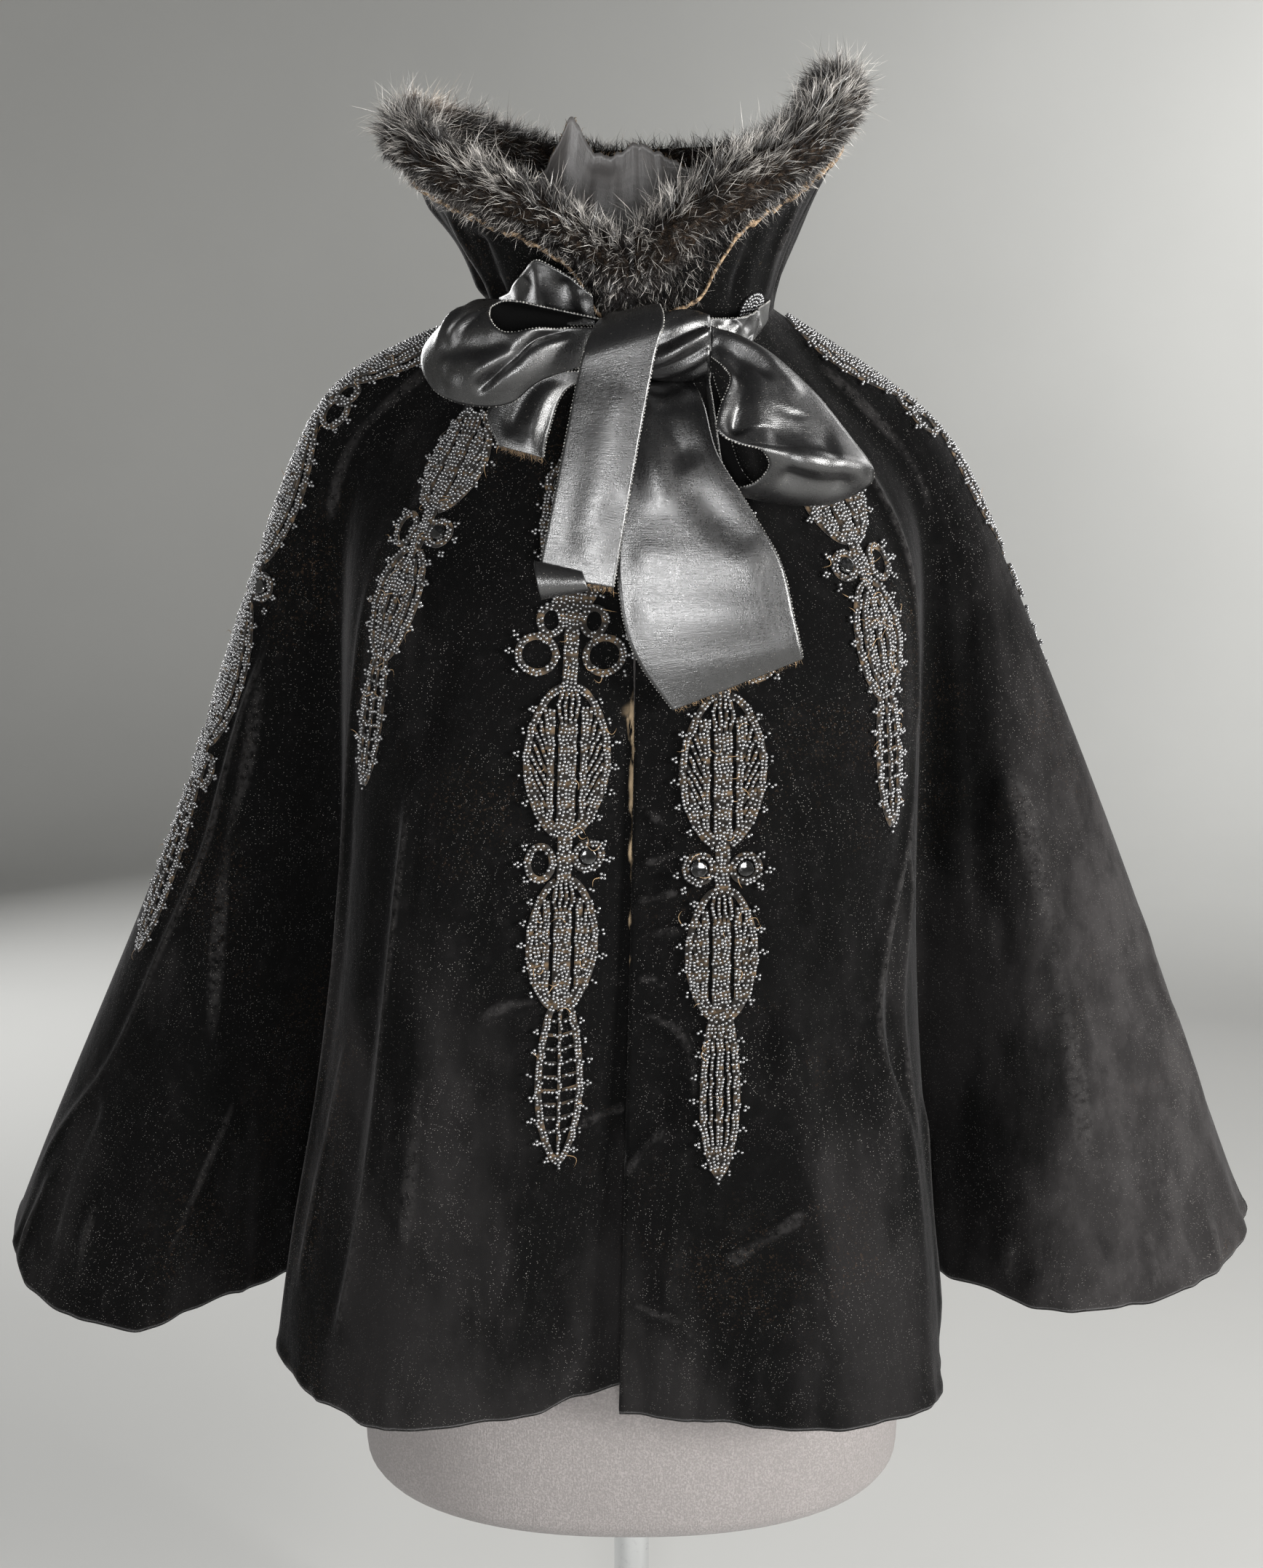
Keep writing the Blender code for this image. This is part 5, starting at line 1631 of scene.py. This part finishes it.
def packed(places, gap):
    """The places that lie at least a gap from every place kept before them."""
    cells, kept = {}, []
    for number, (x, y) in enumerate(places):
        i, j = int(x // gap), int(y // gap)
        near = [m for di in (-1, 0, 1) for dj in (-1, 0, 1) for m in cells.get((i + di, j + dj), ())]
        if all((x - places[m][0]) ** 2 + (y - places[m][1]) ** 2 >= gap * gap for m in near):
            cells.setdefault((i, j), []).append(number)
            kept.append(number)
    return places[kept]


def on_cape(drop, across, way):
    """Points and normals on the velvet, at places across a drop and down it."""
    hang = hung_cape()
    across = np.asarray(across, dtype=float)
    way = np.asarray(way, dtype=float)
    whole = sum(lobe.length for lobe in drop.lobes)
    own = drop.line + (drop.end_line - drop.line) * np.clip(way / whole, 0, 1)
    side = 1 if drop.side == "right" else -1
    centre = own if side > 0 else LAST_LINE - own
    share = np.clip((drop.start + way) / np.interp(centre, hang.lines, hang.lengths), 0, 1)
    row = np.interp(share, hang.shares, np.arange(len(hang.shares))).astype(int)
    places = np.empty((len(way), 2))
    for k in range(len(way)):
        run = hang.runs[:, row[k]]
        middle = np.interp(centre[k], hang.lines, run)
        places[k] = np.interp(middle + side * across[k], run, hang.lines), share[k]
    points = read_grid(hang.points, hang.lines, hang.shares, places)
    return points, unit(read_grid(hang.normals, hang.lines, hang.shares, places))


def strung(strand, rng):
    """Places of the beads along a strand, across its rows."""
    path = np.stack([strand.across, strand.way], axis=-1)
    run = running(path)
    count = max(2, round(run[-1] / BEAD_STEP) + 1)
    middle = read_along(path, run, np.linspace(0, run[-1], count))
    tangent = unit(np.gradient(middle, axis=0))
    sideways = np.stack([-tangent[:, 1], tangent[:, 0]], axis=-1)
    offsets = (np.arange(strand.rows) - (strand.rows - 1) / 2) * 0.96 * BEAD_STEP
    beads = middle[:, None] + offsets[None, :, None] * sideways[:, None]
    beads = beads + rng.normal(scale=0.00014, size=beads.shape)
    return beads.reshape(-1, 2), middle, sideways


def set_beads(name, points, normals, rng):
    """Beads sewn at points of the velvet, each a little different in size and turn."""
    radii = bpy.context.scene.cape_beads.bead_radius * rng.uniform(0.90, 1.10, len(points))
    points = points + normals * (radii + BEAD_LIFT + rng.uniform(0, 0.0005, len(points)))[:, None]
    turns = np.linalg.qr(rng.normal(size=(len(points), 3, 3)))[0]
    turns *= np.linalg.det(turns)[:, None, None]
    piece = scatter(name, points, radii, jet_finish(), turns)
    return piece


def make_drop(node, drop, seed):
    """One beaded drop: its beads, the thread under them, its discs and loose ends of thread."""
    rng = np.random.default_rng(seed)
    strands, spots = drop_strands(drop)
    beads, braids = [], []
    for strand in strands:
        places, middle, sideways = strung(strand, rng)
        beads.append(places)
        braids.append((middle, sideways, strand.rows))
    beads = np.concatenate(beads + [spots])
    beads = beads + 0.0011 * np.column_stack([wander(beads[:, 1] + 0.3 * beads[:, 0], 0.017, seed),
                                              wander(beads[:, 0] - 0.2 * beads[:, 1], 0.013, seed + 1)])
    for way, across, radius in drop.discs:
        beads = beads[np.hypot(beads[:, 0] - across, beads[:, 1] - way) > radius + 0.2 * BEAD_STEP]
    beads = packed(beads, 0.84 * BEAD_STEP)
    beads = beads[rng.random(len(beads)) > 0.02]
    points, normals = on_cape(drop, beads[:, 0], beads[:, 1])
    piece = set_beads(node + "_beads", points, normals, rng)
    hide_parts(node)
    make_braids(node, drop, braids)
    make_discs(node, drop)
    make_loose_threads(node, drop, beads, rng)


def make_braids(node, drop, braids):
    """The tan thread braid that shows under the strands."""
    bm = bmesh.new()
    for middle, sideways, rows in braids:
        half = 0.5 * (rows * BEAD_STEP - BRAID_MARGIN)
        left = on_cape(drop, *(middle - half * sideways).T)
        right = on_cape(drop, *(middle + half * sideways).T)
        strip = np.stack([spots + BEAD_LIFT * normals for spots, normals in (left, right)], axis=1)
        tone = np.clip(0.02 + 0.5 * wander(middle[:, 1], 0.011, 7), 0.02, 0.6)
        lay_grid(bm, strip, {"tone": np.repeat(tone[:, None], 2, axis=1)})
    piece = settle(node + "_braid", bm, fray_finish())
    thicken(piece, BRAID_THICKNESS)


def make_discs(node, drop):
    """The larger cut discs: a broad flat table with facets round its edge."""
    bm = bmesh.new()
    for way, across, radius in drop.discs:
        points, normals = on_cape(drop, [across], [way])
        made = bmesh.ops.create_cone(bm, cap_ends=True, segments=12, radius1=radius,
                                     radius2=DISC_TABLE * radius, depth=DISC_DEPTH)
        turn = Vector((0, 0, 1)).rotation_difference(Vector(normals[0])).to_matrix().to_4x4()
        place = Matrix.Translation(Vector(points[0] + DISC_LIFT * normals[0])) @ turn
        bmesh.ops.transform(bm, matrix=place, verts=made["verts"])
        edges = dict.fromkeys(edge for vert in made["verts"] for edge in vert.link_edges)
        bmesh.ops.bevel(bm, geom=list(edges), offset=0.0003, segments=2, profile=0.5, affect="EDGES",
                        material=-1)
    piece = settle(node + "_discs", bm, disc_finish(), math.radians(25))


def make_loose_threads(node, drop, beads, rng):
    """Loose ends of tan thread on a drop."""
    count = LOOSE_THREADS
    picked = beads[rng.choice(len(beads), count, replace=False)]
    points, normals = on_cape(drop, picked[:, 0], picked[:, 1])
    way = unit(rng.normal(size=(count, 3)) + 0.4 * normals)
    way = unit(way - 0.75 * np.sum(way * normals, axis=1)[:, None] * normals)
    swing = unit(np.cross(way, normals)) * rng.uniform(-1, 1, count)[:, None]
    reach = rng.uniform(0.004, 0.011, count)[:, None]
    f = np.linspace(0, 1, 7)[None, :, None]
    bow = np.sin(np.pi * f)
    course = f * way[:, None] + 0.55 * bow * swing[:, None] + 0.12 * bow * normals[:, None]
    spines = (points + 0.0022 * normals)[:, None] + reach[:, None] * course
    tone = rng.uniform(0.75, 1.0, count)
    widths = np.full(count, THREAD_WIDTH)
    piece = strips(node + "_threads", spines, widths, fray_finish(), {"tone": tone}, normals)


def make_collar_motif():
    """The small bead fan at the collar's foot, above the wearer's left shoulder drop."""
    rng = np.random.default_rng(61)
    arcs = [np.zeros((1, 2))]
    for radius in np.arange(1, MOTIF_COURSES + 1) * BEAD_STEP:
        turn = np.linspace(0, math.pi, max(2, round(math.pi * radius / BEAD_STEP) + 1))
        arcs.append(radius * np.column_stack([np.cos(turn), np.sin(turn)]))
    spots = np.concatenate(arcs) + (0.0, MOTIF_FOOT)
    turn = MOTIF_TURN + np.degrees(spots[:, 0] / MOTIF_ROUND)
    rise, flare = collar_sizes(turn)
    points = collar_points(turn, rise, flare, spots[:, 1] / rise, 0.0016)
    back = collar_points(turn, rise, flare, spots[:, 1] / rise, 0.0)
    set_beads("collar_motif_beads", points, unit(points - back), rng)


def make_drops():
    """The six beaded drops sewn on the velvet, and the small motif on the collar."""
    for number, (node, drop) in enumerate(DROPS.items()):
        make_drop(node, drop, 100 + number)
    make_collar_motif()


def turned(name, radius, low, high, sides, edge, steps, above):
    """A round bar or plate of chrome, with its rims above a height softened."""
    bm = bmesh.new()
    bmesh.ops.create_cone(bm, cap_ends=True, segments=sides, radius1=radius, radius2=radius, depth=high - low,
                          matrix=Matrix.Translation((0, 0, (low + high) / 2)))
    ends = {rim: [vert.co.z for vert in rim.verts] for rim in bm.edges}
    rims = [rim for rim, (first, last) in ends.items() if abs(first - last) < 1e-6 and first > above]
    bmesh.ops.bevel(bm, geom=rims, offset=edge, segments=steps, profile=0.5, affect="EDGES", material=-1)
    return settle(name, bm, chrome_finish(), math.radians(40))


def make_form():
    """The jersey-covered torso, its pole and its round base."""
    height, half, front, back = spread(FORM_RINGS, FORM_STEPS).T[:, :, None]
    angle = np.linspace(0, 2 * np.pi, FORM_SIDES, endpoint=False)[None]
    c, s = np.cos(angle), np.sin(angle)
    power = 2 / FORM_SQUARENESS
    depth = np.where(s > 0, back, front)
    rings = np.stack([half * np.copysign(np.abs(c) ** power, c), depth * np.copysign(np.abs(s) ** power, s),
                      np.broadcast_to(height, (FORM_STEPS, FORM_SIDES))], axis=-1)
    body = roll("form_body_cover", rings, jersey_finish(), math.radians(60))
    declare("form_body")
    low, high = BASE_THICKNESS + SEAM, FORM_RINGS[0].height - SEAM
    pole = turned("form_pole_tube", POLE_RADIUS, low, high, 48, POLE_EDGE, 2, 0.0)
    declare("form_pole")
    base = turned("form_base_plate", BASE_RADIUS, 0.0, BASE_THICKNESS, 96, BASE_EDGE, 6, BASE_THICKNESS / 2)
    declare("form_base")


FLOOR_FLAT = 3.2
FLOOR_SWEEP = 1.3
WALL_TOP = 4.2
SENSOR_WIDTH = 36.0
MIDDLE = (0.0, 0.0, 0.75)
WHITE = (1.0, 1.0, 1.0)
Lamp = namedtuple("Lamp", "name place target size colour")
LAMPS = (
    Lamp("key", (1.9, -1.2, 1.00), MIDDLE, 0.7, (1.0, 0.99, 0.97)),
    Lamp("front", (0.02, -1.62, 0.80), (0.0, 0.0, 0.9), 0.36, WHITE),
    Lamp("left", (-1.5, -1.25, 0.55), (0.0, 0.0, 0.95), 0.40, WHITE),
    Lamp("rim", (1.9, 0.9, 1.9), MIDDLE, 0.9, (1.0, 0.99, 0.98)),
    Lamp("back", (-1.5, 2.1, 1.5), MIDDLE, 1.2, WHITE),
    Lamp("wall", (1.6, 2.2, 1.9), (2.2, 4.4, 1.3), 0.9, (1.0, 1.0, 0.99)),
)


def add_light(lamp, power):
    """A soft square lamp aimed at a point."""
    data = bpy.data.lights.new(lamp.name + "_light", "AREA")
    data.size = lamp.size
    data.energy = power
    data.color = lamp.colour
    light = put(data)
    light.location = lamp.place
    light.rotation_euler = (Vector(lamp.target) - Vector(lamp.place)).to_track_quat("-Z", "Y").to_euler()


def make_floor():
    """A round pale floor that sweeps up into a wall."""
    wall = FLOOR_FLAT + FLOOR_SWEEP
    profile = [(x, 0.0) for x in (0.0, 1.2, 2.4, FLOOR_FLAT)]
    profile += [(FLOOR_FLAT + FLOOR_SWEEP * math.sin(a), FLOOR_SWEEP - FLOOR_SWEEP * math.cos(a))
                for a in np.linspace(0.15, math.pi / 2, 10)]
    profile += [(wall, 2 * FLOOR_SWEEP), (wall, WALL_TOP)]
    bm = bmesh.new()
    verts = [bm.verts.new((x, 0.0, z)) for x, z in profile]
    edges = [bm.edges.new(pair) for pair in zip(verts, verts[1:])]
    bmesh.ops.spin(bm, geom=verts + edges, cent=(0, 0, 0), axis=(0, 0, 1), angle=2 * math.pi, steps=72,
                   use_merge=True)
    bmesh.ops.remove_doubles(bm, verts=bm.verts, dist=1e-5)
    bmesh.ops.recalc_face_normals(bm, faces=bm.faces)
    bmesh.ops.reverse_faces(bm, faces=bm.faces)
    cover(mesh_of("studio_floor", bm), backdrop_finish())


def make_stage():
    """The floor, soft lights and the camera."""
    stage = bpy.context.scene.cape_stage
    make_floor()
    for lamp in LAMPS:
        add_light(lamp, getattr(stage, lamp.name + "_power"))
    bpy.context.scene.view_settings.view_transform = "Standard"
    world = bpy.data.worlds.new("studio_air")
    world.use_nodes = True
    sky = world.node_tree.nodes["Background"]
    sky.inputs["Color"].default_value = (*stage.air_colour, 1.0)
    sky.inputs["Strength"].default_value = stage.air_strength
    bpy.context.scene.world = world

    lens = bpy.data.cameras.new("camera")
    lens.lens = stage.lens
    lens.sensor_width = SENSOR_WIDTH
    lens.sensor_fit = "AUTO"
    camera = put(lens)
    camera.location = (0.0, -stage.camera_distance, stage.camera_height)
    camera.rotation_euler = (math.pi / 2 - stage.camera_tilt, 0.0, 0.0)
    bpy.context.scene.camera = camera


def colour(name, description, default):
    """A colour that a user may change."""
    return FloatVectorProperty(name=name, description=description, subtype="COLOR", size=3, min=0.0, max=1.0,
                               default=default)


def number(name, description, default, **rest):
    """A number, nought or more, that a user may change."""
    return FloatProperty(name=name, description=description, min=0.0, default=default, **rest)


def size(name, description, default):
    """A length that a user may change."""
    return number(name, description, default, unit="LENGTH", precision=5)


class ClothSettings(bpy.types.PropertyGroup):
    """Velvet of the cape and its collar."""
    velvet_thickness: size("Velvet thickness", "Thickness of the velvet with its lining", 0.0022)
    velvet_sheen: number("Sheen", "Strength of the pile's sheen", 0.10, max=1.0, subtype="FACTOR")
    velvet_colour: colour("Velvet", "Colour deep in the pile", (0.00062, 0.00058, 0.00058))
    # Colour of the rubbed ridges and hem, which along the ridges is partly a painted sheen
    wear_and_sheen_colour: colour("Wear", "Colour of rubbed ridges", (0.060, 0.056, 0.055))
    edge_colour: colour("Worn edge", "Colour of the bare opening edge", (0.40, 0.30, 0.19))
    lint_colour: colour("Lint", "Colour of lint and dust specks", (0.34, 0.32, 0.30))


class BowSettings(bpy.types.PropertyGroup):
    """Satin of the bow and the collar's lining."""
    satin_thickness: size("Satin thickness", "Thickness of the ribbon", 0.0012)
    satin_colour: colour("Satin", "Colour of the ribbon", (0.0075, 0.0073, 0.0075))
    # The lining's grey is partly painted light, for the light that falls into the collar from the front
    lining_colour: colour("Lining", "Colour of the lining", (0.108, 0.102, 0.099))
    satin_roughness: number("Roughness", "Gloss of the satin", 0.285, max=1.0, subtype="FACTOR")


class FurSettings(bpy.types.PropertyGroup):
    """Fur along the collar."""
    hairs: IntProperty(name="Hairs", description="Number of hairs", min=100, default=55000)
    guard_hairs: IntProperty(name="Guard hairs", description="Number of longer hairs", min=100, default=9000)
    hair_width: size("Hair width", "Width of a lock of hair at its root", 0.00042)
    root_colour: colour("Roots", "Colour of most of the fur", (0.011, 0.009, 0.008))
    brown_colour: colour("Brown", "Colour of the warmer patches", (0.056, 0.040, 0.029))
    tip_colour: colour("Tips", "Colour of the pale tips", (0.72, 0.68, 0.63))
    hide_colour: colour("Hide", "Colour of the raw hide edge", (0.46, 0.33, 0.21))


class BeadSettings(bpy.types.PropertyGroup):
    """Beaded drops."""
    bead_radius: size("Bead radius", "Radius of one bead", 0.00112)
    jet_colour: colour("Jet", "Colour of the beads", (0.33, 0.33, 0.335))
    thread_colour: colour("Thread", "Colour of the tan thread", (0.27, 0.175, 0.09))


class FormSettings(bpy.types.PropertyGroup):
    """Dress form and stand."""
    jersey_colour: colour("Jersey", "Colour of the knitted cover", (0.250, 0.232, 0.226))
    chrome_colour: colour("Chrome", "Colour of the stand", (0.80, 0.81, 0.82))


class StageSettings(bpy.types.PropertyGroup):
    """Floor, lights and camera."""
    floor_colour: colour("Floor", "Colour of the floor and wall", (0.47, 0.47, 0.458))
    air_colour: colour("Air", "Colour of the light from all round", (0.96, 0.98, 1.0))
    air_strength: number("Air", "Strength of the light from all round", 0.06)
    key_power: number("Key", "Main light", 78.0, unit="POWER")
    front_power: number("Front", "Small light by the camera", 19.0, unit="POWER")
    left_power: number("Left", "Low light from the left", 9.0, unit="POWER")
    back_power: number("Back", "Soft light on the back", 48.0, unit="POWER")
    rim_power: number("Rim", "Light from behind", 26.0, unit="POWER")
    wall_power: number("Wall", "Light on the wall", 50.0, unit="POWER")
    lens: FloatProperty(name="Lens", description="Focal length in millimetres", unit="CAMERA", min=1.0,
                        default=43.41)
    camera_distance: size("Camera distance", "Distance in front of the stand", 1.25)
    camera_height: size("Camera height", "Height above the floor", 0.975)
    camera_tilt: FloatProperty(name="Camera tilt", description="Tilt downwards", unit="ROTATION",
                               subtype="ANGLE", default=math.radians(10.5))


class CAPE_OT_panels(bpy.types.Operator):
    """Drape the velvet fronts and back"""
    bl_idname = "cape.panels"
    bl_label = "Velvet panels"

    def execute(self, context):
        make_panels()
        return {"FINISHED"}


class CAPE_OT_collar(bpy.types.Operator):
    """Stand up the velvet collar"""
    bl_idname = "cape.collar"
    bl_label = "Collar"

    def execute(self, context):
        make_collar()
        return {"FINISHED"}


class CAPE_OT_fur(bpy.types.Operator):
    """Grow the fur along the collar"""
    bl_idname = "cape.fur"
    bl_label = "Fur trim"

    def execute(self, context):
        make_fur()
        return {"FINISHED"}


class CAPE_OT_lining(bpy.types.Operator):
    """Hang the loose lining in the collar"""
    bl_idname = "cape.lining"
    bl_label = "Collar lining"

    def execute(self, context):
        make_lining()
        return {"FINISHED"}


class CAPE_OT_bow(bpy.types.Operator):
    """Tie the ribbon bow"""
    bl_idname = "cape.bow"
    bl_label = "Ribbon bow"

    def execute(self, context):
        make_bow()
        return {"FINISHED"}


class CAPE_OT_drops(bpy.types.Operator):
    """Sew on the beaded drops"""
    bl_idname = "cape.drops"
    bl_label = "Beaded drops"

    def execute(self, context):
        make_drops()
        return {"FINISHED"}


class CAPE_OT_form(bpy.types.Operator):
    """Cover the dress form and set up its stand"""
    bl_idname = "cape.form"
    bl_label = "Dress form and stand"

    def execute(self, context):
        make_form()
        return {"FINISHED"}


class CAPE_OT_stage(bpy.types.Operator):
    """Set the floor, the lights and the camera"""
    bl_idname = "cape.stage"
    bl_label = "Stage"

    def execute(self, context):
        make_stage()
        return {"FINISHED"}


OPERATORS = (CAPE_OT_panels, CAPE_OT_collar, CAPE_OT_fur, CAPE_OT_lining, CAPE_OT_bow, CAPE_OT_drops,
             CAPE_OT_form, CAPE_OT_stage)
SETTINGS = {"cape_cloth": ClothSettings, "cape_bow": BowSettings, "cape_fur": FurSettings,
            "cape_beads": BeadSettings, "cape_form": FormSettings, "cape_stage": StageSettings}


class CAPE_PT_pieces(bpy.types.Panel):
    """Lists the pieces and their settings"""
    bl_idname = "CAPE_PT_pieces"
    bl_label = "Velvet cape"
    bl_space_type = "VIEW_3D"
    bl_region_type = "UI"
    bl_category = "Cape"

    def draw(self, context):
        layout = self.layout
        for operator in OPERATORS:
            layout.operator(operator.bl_idname)
        for key in SETTINGS:
            group = getattr(context.scene, key)
            box = layout.box()
            for name in group.bl_rna.properties.keys():
                if name not in ("rna_type", "name"):
                    box.prop(group, name)


def register():
    """Registers the classes and hangs their settings on the scene."""
    for cls in (*SETTINGS.values(), *OPERATORS, CAPE_PT_pieces):
        bpy.utils.register_class(cls)
    for key, group in SETTINGS.items():
        setattr(bpy.types.Scene, key, PointerProperty(type=group))


def unregister():
    """Takes the settings and classes away again."""
    for key in SETTINGS:
        delattr(bpy.types.Scene, key)
    for cls in reversed((*SETTINGS.values(), *OPERATORS, CAPE_PT_pieces)):
        bpy.utils.unregister_class(cls)


def main():
    """Builds every piece in order."""
    register()
    bpy.ops.cape.stage()
    bpy.ops.cape.form()
    bpy.ops.cape.panels()
    bpy.ops.cape.collar()
    bpy.ops.cape.fur()
    bpy.ops.cape.lining()
    bpy.ops.cape.bow()
    bpy.ops.cape.drops()


if __name__ == "__main__":
    main()
